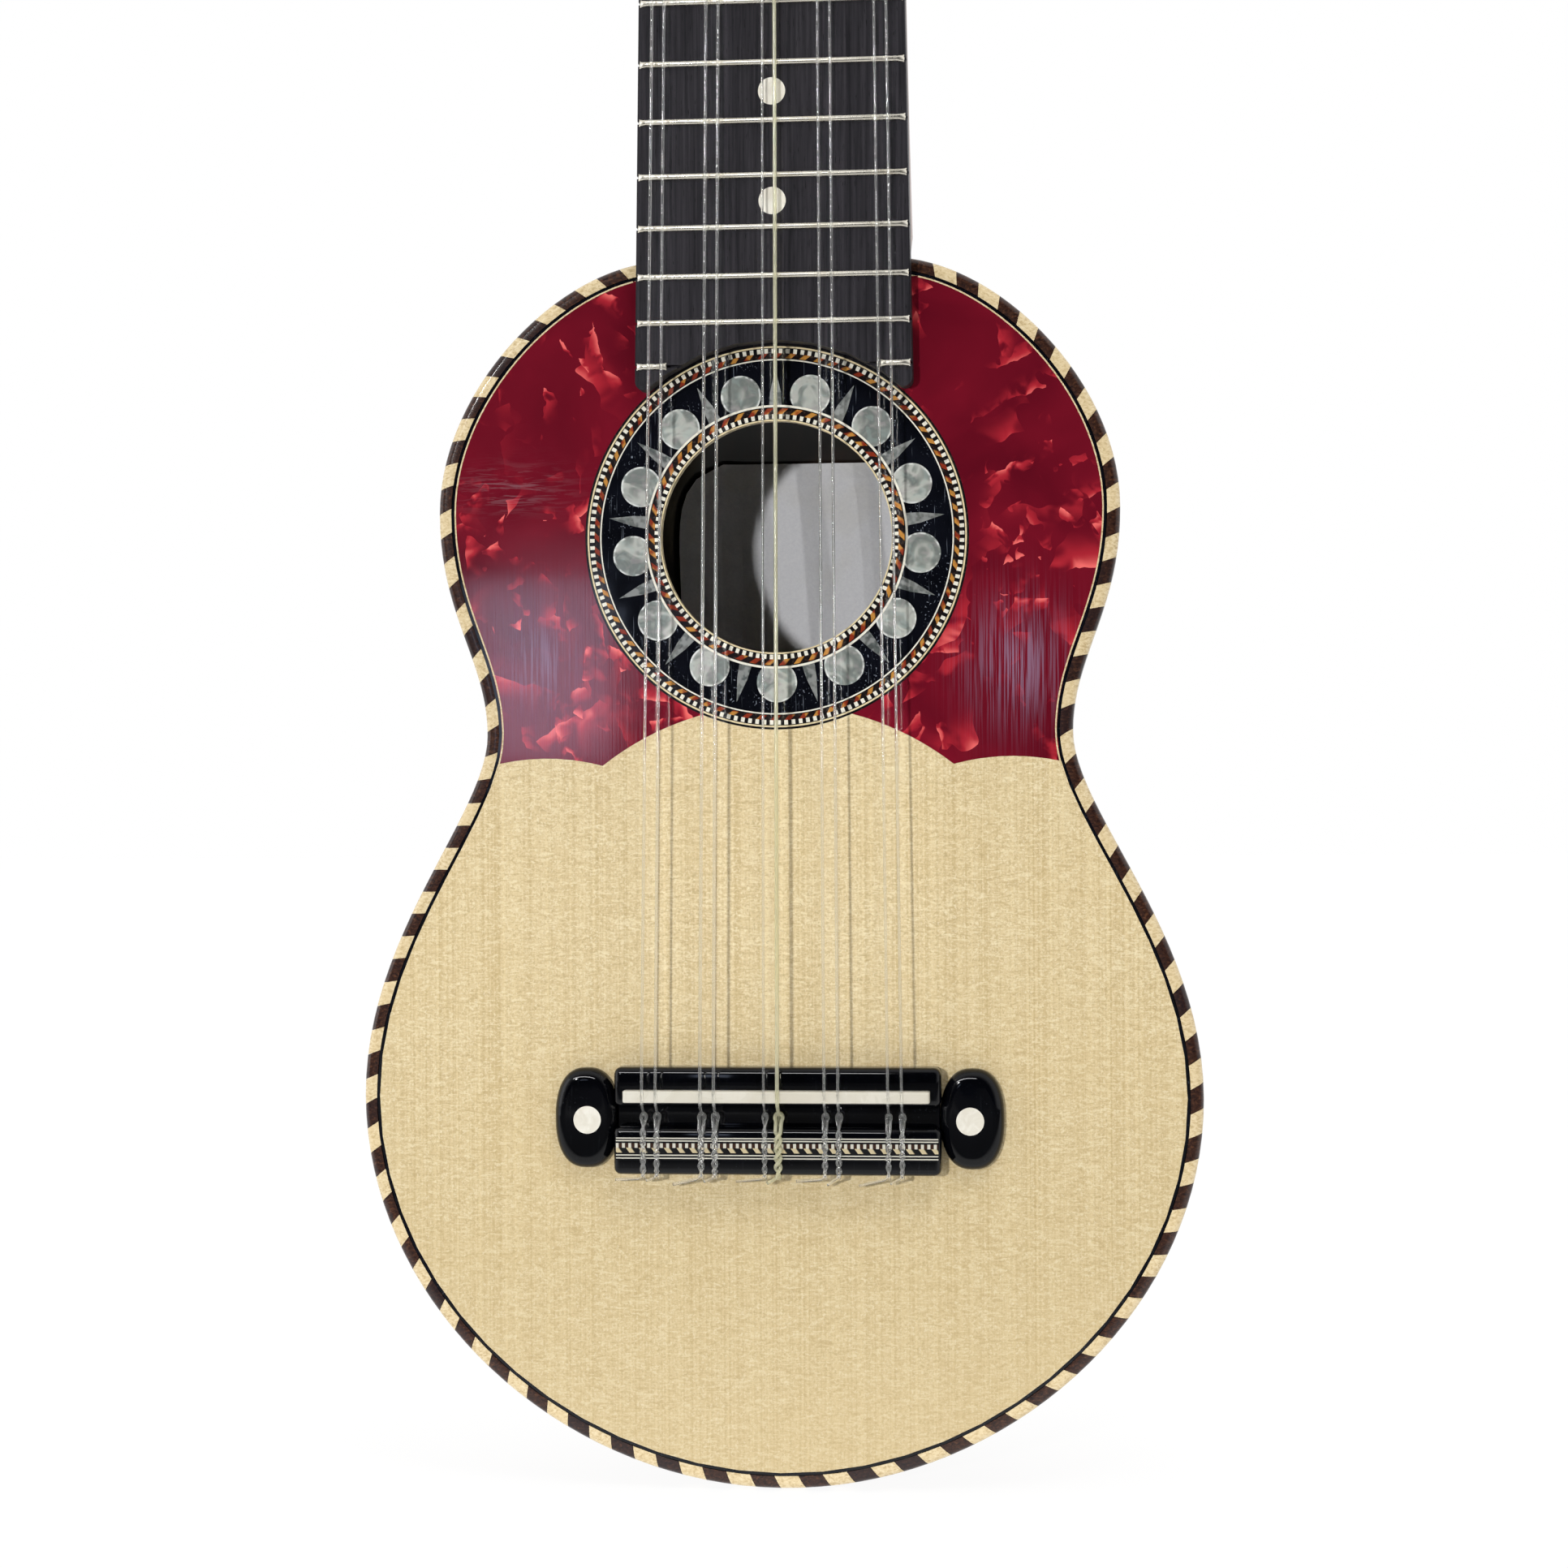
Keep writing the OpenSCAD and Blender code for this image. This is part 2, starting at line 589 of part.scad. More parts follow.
// ---- bridge -------------------------------------------------------------
block_half = 34.75;
bridge_low = tie_low;
bridge_high = 90.3;
channel_high = 82;
ear_half = 48;
ear_h = 3.6;
dot_x = 40.8;
dot_z = 78.9;
dot_r = 2.95;
saddle_half = 32.5;
saddle_w = 2.6;
saddle_foot = 2.5;
inlay_half = 34.2;
inlay_w = 4.9;
inlay_z = 73.2;
module ear() {
    r = 6;
    for (z = [bridge_low + 0.9 + r, bridge_high - 0.9 - r])
        disc(ear_half - r, z, r, -ear_h, 0);
    block([ear_half - 2 * r, -ear_h, bridge_low + 0.9 + r],
          [ear_half, 0, bridge_high - 0.9 - r]);
    block([block_half - 1, -ear_h, bridge_low + 0.9], [ear_half - r, 0, bridge_high - 0.9]);
}
module bridge() {
    color("#0b0b0d") difference() {
        union() {
            block([-block_half, -6, channel_high], [block_half, 0, bridge_high]);
            block([-block_half, -2, tie_high - 1], [block_half, 0, channel_high + 1]);
            block([-block_half, -tie_h, tie_low], [block_half, 0, tie_high]);
            ear();
            mirror([1, 0, 0]) ear();
        }
        block([-saddle_half - eps, -20, saddle_z - saddle_w / 2 - eps],
              [saddle_half + eps, -saddle_foot, saddle_z + saddle_w / 2 + eps]);
        block([-inlay_half, -tie_h - 1, inlay_z - inlay_w / 2],
              [inlay_half, -tie_h + 0.8, inlay_z + inlay_w / 2]);
        for (i = [0:9])
            translate([saddle_x(i), face_y - tie_hole_h, tie_low - 1]) cylinder(r = 0.6, h = 12);
        for (s = [-1, 1])
            disc(s * dot_x, dot_z, dot_r, -ear_h - 1, -ear_h + 1.2);
    }
}
module bridge_dots() {
    color("white") for (s = [-1, 1])
        disc(s * dot_x, dot_z, dot_r, -ear_h, -ear_h + 1.2);
}
module bridge_inlay() {
    color("tan") block([-inlay_half, -tie_h, inlay_z - inlay_w / 2],
                       [inlay_half, -tie_h + 0.8, inlay_z + inlay_w / 2]);
}
module saddle() {
    color("ivory") block([-saddle_half, -saddle_h, saddle_z - saddle_w / 2],
                         [saddle_half, -saddle_foot, saddle_z + saddle_w / 2]);
}

// ---- head ---------------------------------------------------------------
// Worm and gear: module 0.8, so the worm's lead is the gear's circular pitch.
gear_module = 0.8;
worm_lead = PI * gear_module;
gear_r = gear_teeth * gear_module / 2;
gear_tip = gear_r + 0.6;
gear_root = gear_r - 0.9;
gear_w = 2.6;
worm_r = 2.6;
worm_tip = worm_r + 0.65;
worm_core = 1.8;
worm_gap = gear_r + worm_r;
gear_x = plate_x + sheet_t + worm_tip + 0.35;
function screw_z(k) = k == 0 ? roller_z0 - 10 : roller_z0 + (k - 1) * roller_pitch + 14.3;
screw_count = 6;
screw_r = 1.2;
veneer_t = 1.5;

// Right edge of the head: a flare above the nut and a stepped, rounded crest.
head_side = let (w = head_w / 2, top = head_len) concat(
    [[nut_w / 2, 0]],
    [for (t = [0.2:0.2:1]) bezier([[nut_w / 2, 0], [nut_w / 2 + 0.6, 5], [w, 5], [w, 14]], t)],
    [for (t = [0:0.2:1]) bezier([[w, top - 19], [w + 1, top - 12], [w - 3, top - 9],
                                 [w - 8, top - 8]], t)],
    [for (t = [0.2:0.2:1]) bezier([[w - 8, top - 8], [w - 17, top - 7], [w - 17, top],
                                   [6, top]], t)]);
module head_shape() {
    polygon(concat(head_side, [for (k = [len(head_side) - 1:-1:0])
        [-head_side[k][0], head_side[k][1]]]));
}
module head_slot(from, to) {
    r = (slot_out - web_half) / 2;
    x = (slot_out + web_half) / 2;
    for (z = [slot_low + r, slot_high - r])
        translate([x, from, z]) rotate([-90, 0, 0]) cylinder(r = r, h = to - from);
    translate([web_half, from, slot_low + r]) cube([2 * r, to - from,
                                                    slot_high - slot_low - 2 * r]);
}
module head_slab(from, to) {
    difference() {
        translate([0, to, 0]) rotate([90, 0, 0]) linear_extrude(to - from) head_shape();
        head_slot(from - 1, to + 1);
        mirror([1, 0, 0]) head_slot(from - 1, to + 1);
    }
}
module headstock() {
    color("sienna") on_head() difference() {
        head_slab(0, head_t);
        for (s = [-1, 1]) {
            for (k = [0:4]) {
                z = roller_z0 + k * roller_pitch;
                x_rod(s * (slot_out - 1), s * (plate_x + 1), roller_y, z, roller_r + 0.2);
                x_rod(s * (web_half - 3.6), s * (web_half + 1), roller_y, z, pin_r + 0.05);
            }
            for (k = [0:screw_count - 1])
                x_rod(s * (plate_x - 8), s * (plate_x + 1), roller_y, screw_z(k), screw_r + eps);
        }
    }
}
module head_veneer() {
    color("#1d1b1e") on_head() difference() {
        head_slab(-veneer_t, 0);
        translate([-50, -5, -1]) cube([100, 10, 1.6]);
    }
}
sheet_low = roller_z0 - 14;
sheet_high = roller_z0 + 4 * roller_pitch + 18;
tab_y = [[1.4, 2.9], [head_t - 2.9, head_t - 1.4]];
shaft_r = 1.25;
// One mounting plate, drawn for the right side: sheet, then two bearing tabs per worm.
module tuner_plate() {
    on_head() difference() {
        union() {
            translate([plate_x, 0.6, sheet_low]) cube([sheet_t, head_t - 1.2,
                                                       sheet_high - sheet_low]);
            for (k = [0:4]) for (t = tab_y)
                translate([plate_x, t[0], roller_z0 + k * roller_pitch + worm_gap - 2.8])
                    cube([gear_x - plate_x + 2.6, t[1] - t[0], 5.6]);
        }
        for (k = [0:4]) {
            z = roller_z0 + k * roller_pitch;
            x_rod(plate_x - 1, plate_x + sheet_t + 1, roller_y, z, pin_r + 0.05);
            translate([gear_x, 0, z + worm_gap]) rotate([-90, 0, 0])
                cylinder(r = shaft_r + 0.05, h = head_t);
        }
        for (k = [0:screw_count - 1])
            x_rod(plate_x - 1, plate_x + sheet_t + 1, roller_y, screw_z(k), screw_r + 0.1);
    }
}
module tuner_plate_right() {
    color("gold") tuner_plate();
}
module tuner_plate_left() {
    color("gold") mirror([1, 0, 0]) tuner_plate();
}
module plate_screws() {
    head_x = plate_x + sheet_t;
    color("goldenrod") on_head() for (s = [-1, 1]) for (k = [0:screw_count - 1]) {
        x_rod(s * (plate_x - 7), s * (head_x + 0.2), roller_y, screw_z(k), screw_r);
        x_rod(s * head_x, s * (head_x + 1), roller_y, screw_z(k), 2);
    }
}
// Worm thread as a swept ridge of trapezoid section, rooted in the core.
thread_turns = 3.4;
thread_steps = 14;
thread_foot = 0.62;
thread_crest = 0.26;
module worm_thread() {
    n = round(thread_turns * thread_steps);
    pts = [for (k = [0:n]) let (a = 360 * k / thread_steps,
                                y = (k / n - 0.5) * thread_turns * worm_lead)
        each [for (q = [[worm_core - 0.3, -thread_foot], [worm_tip, -thread_crest],
                        [worm_tip, thread_crest], [worm_core - 0.3, thread_foot]])
            [q[0] * cos(a), q[0] * sin(a), y + q[1]]]];
    polyhedron(pts, concat([[3, 2, 1, 0]],
        [for (k = [0:n - 1]) for (s = [0:3]) for (f = [0:1])
            let (a = 4 * k + s, b = 4 * k + (s + 1) % 4)
            f == 0 ? [a, b, a + 4] : [b, b + 4, a + 4]],
        [[4 * n, 4 * n + 1, 4 * n + 2, 4 * n + 3]]), convexity = 8);
}
// The thread's gap faces the gear at mid height.
worm_phase = 18;
knob_from = head_t + 4;
knob_len = 17;
knob_half = 8;
knob_t = 7;
// Shaft with worm and a flat oval button, along the head's Y.
module tuner_key(i) {
    color("goldenrod") on_head() translate([hand(i) * gear_x, 0, roller_z(i) + worm_gap]) {
        rotate([-90, 0, 0]) {
            translate([0, 0, -0.2]) cylinder(r = shaft_r, h = knob_from + 2);
            translate([0, 0, tab_y[0][1] + 0.1])
                cylinder(r = worm_core, h = tab_y[1][0] - tab_y[0][1] - 0.2);
            translate([0, 0, -0.7]) cylinder(r = 2.1, h = 2);
            translate([0, 0, head_t - 1.3]) cylinder(r = 2.3, h = knob_from - head_t + 1.4);
            translate([0, 0, head_t / 2]) rotate([0, 0, worm_phase]) worm_thread();
        }
        intersection() {
            translate([-knob_t / 2, knob_from, -knob_half]) cube([knob_t, knob_len, 2 * knob_half]);
            translate([-knob_t, knob_from + knob_len / 2, 0]) rotate([0, 90, 0])
                cylinder(r = 9.6, h = 2 * knob_t);
        }
    }
}
module roller_gear() {
    tooth = 360 / gear_teeth;
    polygon([for (k = [0:gear_teeth - 1]) each
        [for (q = [[gear_root, -0.33], [gear_tip, -0.13], [gear_tip, 0.13], [gear_root, 0.33]])
            let (a = (k + q[1]) * tooth) [q[0] * cos(a), q[0] * sin(a)]]]);
}
module roller(i) {
    s = hand(i);
    z = roller_z(i);
    color("lightgray") on_head() {
        x_rod(s * (web_half - 3.4), s * gear_x, roller_y, z, pin_r);
        x_rod(s * (web_half + 0.2), s * (plate_x - 0.3), roller_y, z, roller_r);
        x_rod(s * (plate_x + sheet_t + 0.2), s * gear_x, roller_y, z, 3);
        x_rod(s * gear_x, s * (gear_x + gear_w / 2 + 1.2), roller_y, z, 2.2);
        translate([s * gear_x - gear_w / 2, roller_y, z]) rotate([0, 90, 0])
            linear_extrude(gear_w) roller_gear();
    }
    color("whitesmoke") on_head() translate([coil_x(i), roller_y, z]) rotate([0, 90, 0])
        rotate_extrude() for (k = [0:winding_turns - 1])
            translate([roller_r + string_r[i] + eps, (k - 1) * 2 * string_r[i]])
                circle(r = string_r[i] + 0.01);
}

body_bowl();
neck();
headstock();
head_veneer();
soundboard();
cross_braces();
fan_braces();
bridge_patch();
blank_label();
pearloid_plate();
binding_light();
binding_dark();
purfling_line();
rosette_field();
rosette_outer_ring();
rosette_inner_ring();
rosette_discs();
rosette_spikes();
fretboard();
frets();
fret_dots();
nut();
bridge();
bridge_dots();
bridge_inlay();
saddle();
tuner_plate_left();
tuner_plate_right();
plate_screws();
for (i = [0:9]) {
    string(i);
    tuner_key(i);
    roller(i);
}
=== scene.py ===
import json
import math
import random

import bmesh
import bpy
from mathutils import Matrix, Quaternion, Vector

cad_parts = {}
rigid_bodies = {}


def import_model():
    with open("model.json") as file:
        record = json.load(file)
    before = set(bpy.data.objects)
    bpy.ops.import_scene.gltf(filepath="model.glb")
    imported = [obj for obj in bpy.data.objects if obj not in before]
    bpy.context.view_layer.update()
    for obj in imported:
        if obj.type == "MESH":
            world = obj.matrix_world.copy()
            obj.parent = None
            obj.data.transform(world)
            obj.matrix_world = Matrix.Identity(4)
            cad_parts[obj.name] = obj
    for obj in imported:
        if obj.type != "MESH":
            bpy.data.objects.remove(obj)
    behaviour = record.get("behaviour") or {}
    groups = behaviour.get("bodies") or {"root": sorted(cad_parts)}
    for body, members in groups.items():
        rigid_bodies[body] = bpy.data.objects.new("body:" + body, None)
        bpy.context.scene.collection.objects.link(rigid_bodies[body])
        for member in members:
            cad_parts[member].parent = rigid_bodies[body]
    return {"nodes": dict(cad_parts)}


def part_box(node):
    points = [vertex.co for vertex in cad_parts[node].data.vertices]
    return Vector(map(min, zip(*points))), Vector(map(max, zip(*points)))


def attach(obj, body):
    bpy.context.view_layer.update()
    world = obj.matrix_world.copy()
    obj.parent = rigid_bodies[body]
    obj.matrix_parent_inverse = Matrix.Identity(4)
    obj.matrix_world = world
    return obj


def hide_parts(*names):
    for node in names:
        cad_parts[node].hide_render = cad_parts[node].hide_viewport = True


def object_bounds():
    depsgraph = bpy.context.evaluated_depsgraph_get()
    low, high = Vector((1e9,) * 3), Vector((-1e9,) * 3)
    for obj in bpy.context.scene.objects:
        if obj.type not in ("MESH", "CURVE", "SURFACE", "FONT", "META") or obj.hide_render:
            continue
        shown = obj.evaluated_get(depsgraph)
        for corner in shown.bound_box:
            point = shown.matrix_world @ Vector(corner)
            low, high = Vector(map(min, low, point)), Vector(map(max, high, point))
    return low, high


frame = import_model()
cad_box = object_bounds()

NODES = frame["nodes"]
MM = 0.001
random.seed(7)

# ---- sizes of the instrument, in millimetres ----
SCALE_LEN = 368
SADDLE_Z = 84.3
NUT_Z = SADDLE_Z + SCALE_LEN
HEAD_Z = NUT_Z + 5
BODY_LEN = 262
BODY_DEPTH = 80
HEEL_DEPTH = 44
FACE_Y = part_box("soundboard")[0].y / MM
HOLE_Z = 203
CORNER_HALF = 28.4
BIND_W = 2.8
BIND_T = 5
PURF_W = 0.65
NUT_W = 52.4
BOARD_W = 58.2
BOARD_T = 5
BOARD_END_R = 41.4
SADDLE_H = 8.7
NUT_H = 6.6
HEAD_TILT = math.radians(10)
HEAD_T = 16
GEAR_TEETH = 14
LOWER_HALF, LOWER_Z = 89.9, 83.5
WAIST_HALF, WAIST_Z = 62.8, 161.2
UPPER_HALF, UPPER_Z = 73, 208.7


# ---- helpers for meshes ----
def at(x, depth, z):
    """A point in metres, from millimetres with depth behind the soundboard's face."""
    return Vector((x * MM, (FACE_Y + depth) * MM, z * MM))


def on_head(x, depth, z):
    """A point in metres from the tilted head's own millimetres."""
    c, s = math.cos(HEAD_TILT), math.sin(HEAD_TILT)
    return Vector((x * MM, (FACE_Y + depth * c + z * s) * MM, (HEAD_Z - depth * s + z * c) * MM))


def piece(name, shape, look, body="instrument", stands_for=(), angle=40):
    """A new piece of the object, riding on a CAD body. Its shape is vertices and faces."""
    verts, faces = shape
    mesh = bpy.data.meshes.new(name)
    mesh.from_pydata([tuple(v) for v in verts], [], faces)
    bm = bmesh.new()
    bm.from_mesh(mesh)
    bmesh.ops.recalc_face_normals(bm, faces=bm.faces)
    bm.to_mesh(mesh)
    bm.free()
    for p in mesh.polygons:
        p.use_smooth = True
    mesh.set_sharp_from_angle(angle=math.radians(angle))
    obj = bpy.data.objects.new(name, mesh)
    bpy.context.scene.collection.objects.link(obj)
    mesh.materials.append(MAT[look])
    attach(obj, body)
    if stands_for:
        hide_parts(*stands_for)
    return obj


def store(obj, name, values):
    """Keep a number for each point of a piece, for its material to read."""
    obj.data.attributes.new(name, "FLOAT", "POINT").data.foreach_set("value", values)


def joined(shapes):
    """Several shapes as one."""
    verts, faces = [], []
    for more_verts, more_faces in shapes:
        base = len(verts)
        verts += more_verts
        faces += [[base + k for k in f] for f in more_faces]
    return verts, faces


def loft(rings, capped=True):
    """Faces through closed rings of equal length, with flat ends where asked."""
    n = len(rings[0])
    verts = [p for r in rings for p in r]
    last = len(verts) - n
    faces = []
    for start in range(0, last, n):
        for k in range(n):
            a, b = start + k, start + (k + 1) % n
            faces.append([a, b, b + n, a + n])
    if capped:
        faces += [list(range(n)), [last + k for k in reversed(range(n))]]
    return verts, faces


def rounded_box(lo, hi, radius):
    """A box between two corners, in millimetres, with all its edges rounded."""
    bm = bmesh.new()
    bmesh.ops.create_cube(bm, size=1)
    for v in bm.verts:
        v.co = Vector([(a + b) / 2 + (b - a) * c for a, b, c in zip(lo, hi, v.co)])
    bmesh.ops.bevel(bm, geom=bm.edges[:], offset=radius, segments=4, profile=0.5,
                    affect="EDGES")
    bm.verts.index_update()
    verts = [at(*v.co) for v in bm.verts]
    faces = [[v.index for v in f.verts] for f in bm.faces]
    bm.free()
    return verts, faces


def lathe(profile, centre, axis, side, steps=32):
    """A turned shape; its profile is distances along the axis and radii, in millimetres."""
    other = axis.cross(side)
    rings = []
    for along, radius in profile:
        rings.append([centre + axis * along * MM + (
            side * math.cos(2 * math.pi * k / steps) + other * math.sin(2 * math.pi * k / steps)
        ) * radius * MM for k in range(steps)])
    return loft(rings)


def rounded_path(points, reach, steps):
    """The points with each corner turned into a short curve; reach is in millimetres."""
    out = [points[0]]
    for a, b, c in zip(points, points[1:], points[2:]):
        ra = min(reach * MM, (a - b).length * 0.48)
        rc = min(reach * MM, (c - b).length * 0.48)
        p, q = b + (a - b).normalized() * ra, b + (c - b).normalized() * rc
        for k in range(steps + 1):
            t = k / steps
            out.append(p * (1 - t) ** 2 + b * 2 * t * (1 - t) + q * t * t)
    out.append(points[-1])
    return out


def tube(points, radius, sides=10):
    """A round bar along points in metres; radius is in millimetres."""
    rings = []
    u = None
    for k, p in enumerate(points):
        d = (points[min(k + 1, len(points) - 1)] - points[max(k - 1, 0)]).normalized()
        if u is None:
            u = d.orthogonal().normalized()
        u = (u - d * u.dot(d)).normalized()
        v = d.cross(u)
        rings.append([p + (u * math.cos(2 * math.pi * s / sides)
                           + v * math.sin(2 * math.pi * s / sides)) * radius * MM
                      for s in range(sides)])
    return loft(rings)


# ---- materials ----
class Surface:
    """A procedural material, written as steps on sockets. Lengths are in millimetres."""

    def __init__(self, name):
        self.mat = bpy.data.materials.new(name)
        self.mat.use_nodes = True
        self.tree = self.mat.node_tree
        self.tree.nodes.clear()
        self.shader = self.node("BsdfPrincipled")
        self.node("OutputMaterial", {0: self.shader.outputs[0]})
        coord = self.node("TexCoord").outputs["Object"]
        scale = self.node("VectorMath", {0: coord, "Scale": 1 / MM}, operation="SCALE")
        self.place = scale.outputs[0]
        self.x, self.y, self.z = self.split(self.place)

    def node(self, kind, inputs=None, **settings):
        """A new node. Each input, by its name or number, gets a value or a link."""
        n = self.tree.nodes.new("ShaderNode" + kind)
        for name, value in settings.items():
            setattr(n, name, value)
        for socket, value in (inputs or {}).items():
            self.put(n.inputs[socket], value)
        return n

    def put(self, socket, value):
        if isinstance(value, bpy.types.NodeSocket):
            self.tree.links.new(value, socket)
        elif isinstance(value, tuple) and len(value) == 3 and socket.type == "RGBA":
            socket.default_value = (*value, 1)
        else:
            socket.default_value = value

    def split(self, vector):
        return self.node("SeparateXYZ", {0: vector}).outputs

    def attribute(self, name):
        """A number stored on the mesh's points."""
        return self.node("Attribute", attribute_name=name).outputs["Fac"]

    def math(self, op, *values):
        return self.node("Math", dict(enumerate(values)), operation=op).outputs[0]

    def add(self, a, b):
        return self.math("ADD", a, b)

    def mul(self, a, b):
        return self.math("MULTIPLY", a, b)

    def frac(self, a):
        return self.math("FRACT", a)

    def between(self, value, lo, hi):
        return self.mul(self.math("GREATER_THAN", value, lo), self.math("LESS_THAN", value, hi))

    def fade(self, value, lo, hi):
        """0 at lo, 1 at hi and smooth between them."""
        return self.node("MapRange", {"Value": value, "From Min": lo, "From Max": hi},
                         interpolation_type="SMOOTHSTEP").outputs[0]

    def noise(self, size, detail=2.0, warp=0.0, rough=0.5, seed=0.0):
        """Noise whose features are about size millimetres along X, Y and Z."""
        size = size if isinstance(size, tuple) else (size, size, size)
        moved = self.node("Mapping", {"Vector": self.place, "Scale": [1 / s for s in size],
                                      "Location": (seed, seed * 1.7, seed * 0.6)})
        return self.node("TexNoise", {"Vector": moved.outputs[0], "Scale": 1, "Detail": detail,
                                      "Roughness": rough, "Distortion": warp}).outputs["Fac"]

    def flakes(self, size, warp, folds, share):
        """Crumpled foil: flakes about size millimetres wide, each shaded across its own way."""
        bend = self.node("TexNoise", {"Vector": self.place, "Scale": 1.3 / size, "Detail": 1.5})
        moved = self.node("VectorMath", {0: bend.outputs["Color"], 1: (2.5 * warp,) * 3,
                                         2: self.place}, operation="MULTIPLY_ADD")
        cells = self.node("TexVoronoi", {"Vector": moved.outputs[0], "Scale": 1 / size})
        own = self.node("SeparateColor", {0: cells.outputs["Color"]}).outputs
        spin = self.mul(own[0], 2 * math.pi)
        across = self.add(self.mul(self.x, self.math("COSINE", spin)),
                          self.mul(self.z, self.math("SINE", spin)))
        across = self.add(across, self.mul(self.noise(size * 0.45, 2, 0.8, 0.5, 9.0), size * 0.2))
        shade = self.frac(self.add(self.mul(across, folds), self.mul(own[1], 5.0)))
        lit = self.fade(own[2], share, share + 0.08)
        soft = self.fade(self.noise(size * 0.5, 2, 0.6), 0.34, 0.60)
        return self.mul(self.mul(self.math("POWER", shade, 3.0), lit), soft)

    def ramp(self, fac, *stops):
        n = self.node("ValToRGB", {0: fac})
        while len(n.color_ramp.elements) < len(stops):
            n.color_ramp.elements.new(0.5)
        for element, (spot, colour) in zip(n.color_ramp.elements, stops):
            element.position = spot
            element.color = (*colour, 1)
        return n.outputs[0]

    def mix(self, fac, a, b):
        return self.node("Mix", {0: fac, 6: a, 7: b}, data_type="RGBA").outputs[2]

    def stain(self, colour, over, share, mask, lo, hi):
        """The colour with a share of another over it, as the mask goes from lo to hi."""
        return self.mix(self.mul(self.fade(mask, lo, hi), share), colour, over)

    def patch(self, x, mid_x, half_x, mid_z, half_z):
        """A soft oval patch, 1 in its middle."""
        dx = self.math("DIVIDE", self.math("SUBTRACT", x, mid_x), half_x)
        dz = self.math("DIVIDE", self.math("SUBTRACT", self.z, mid_z), half_z)
        return self.math("EXPONENT", self.mul(self.add(self.mul(dx, dx), self.mul(dz, dz)), -1.0))

    def bump(self, height, depth, strength):
        """Relief of the given depth in millimetres."""
        n = self.node("Bump", {"Strength": strength, "Distance": depth * MM, "Height": height})
        self.put(self.shader.inputs["Normal"], n.outputs[0])

    def done(self, colour, roughness, **constants):
        self.put(self.shader.inputs["Base Color"], colour)
        self.put(self.shader.inputs["Roughness"], roughness)
        for name, value in constants.items():
            self.shader.inputs[name.replace("_", " ")].default_value = value
        return self.mat

    def polar(self):
        """Radius from the soundhole's centre, and turns round it from straight down."""
        dz = self.math("SUBTRACT", self.z, HOLE_Z)
        r = self.math("SQRT", self.add(self.mul(self.x, self.x), self.mul(dz, dz)))
        turn = self.mul(self.math("ARCTAN2", self.x, self.mul(dz, -1.0)), 0.5 / math.pi)
        return r, turn


WHITE_LINE = (0.80, 0.77, 0.66)
CREAM = (0.74, 0.62, 0.38)
BLACK = (0.006, 0.006, 0.007)


# Painted shade on the spruce: it darkens from the first height down to the second, in
# millimetres.
TAIL_SHADE_FROM_Z, TAIL_SHADE_TO_Z = 140.0, 10.0
BOARD_BAND_W, BOARD_BAND_HALF, BOARD_BAND_LOW = 1.8, 26.0, 233.0
DISCS, DISC_RING_R = 13, 31.0


def spruce_material():
    """Upright grain and silky cross figure, with painted shade: darker to the tail and on the
    underside.
    """
    s = Surface("spruce")
    grain = s.noise((0.55, 40, 300), 2, 0.1)
    colour = s.ramp(grain, (0.30, (0.60, 0.46, 0.235)), (0.50, (0.70, 0.56, 0.32)),
                    (0.72, (0.77, 0.625, 0.36)))
    silk = s.noise((3.0, 9, 0.8), 3, 1.5, 0.66)
    colour = s.stain(colour, (0.89, 0.78, 0.52), 0.55, silk, 0.50, 0.64)
    colour = s.stain(colour, (0.50, 0.37, 0.18), 0.55, silk, 0.46, 0.34)
    fleck = s.noise((0.5, 4, 0.55), 3, 0.8, 0.6)
    colour = s.stain(colour, (0.92, 0.83, 0.60), 0.50, fleck, 0.54, 0.66)
    colour = s.stain(colour, (0.48, 0.36, 0.18), 0.55, fleck, 0.46, 0.34)
    colour = s.stain(colour, (0.66, 0.49, 0.23), 0.12, s.noise((70, 60, 40), 2), 0.42, 0.66)
    # Painted shade: the spruce is darkened towards the tail, standing in for less light falling
    # there.
    colour = s.stain(colour, (0.40, 0.30, 0.14), 0.36, s.z, TAIL_SHADE_FROM_Z, TAIL_SHADE_TO_Z)
    # Painted shade: faces turned into the body are painted dark brown, standing in for the dark
    # inside.
    facing = s.split(s.node("NewGeometry").outputs["True Normal"])
    shade_under = s.math("GREATER_THAN", facing[1], 0.5)
    colour = s.mix(s.mul(shade_under, 0.8), colour, (0.12, 0.08, 0.04))
    height = s.add(s.mul(silk, 0.7), s.add(s.mul(grain, 0.25), s.mul(fleck, 0.3)))
    s.bump(height, 0.05, 0.6)
    rough = s.add(0.26, s.mul(silk, 0.14))
    return s.done(colour, rough, Specular_IOR_Level=0.45, Coat_Weight=0.35, Coat_Roughness=0.18)


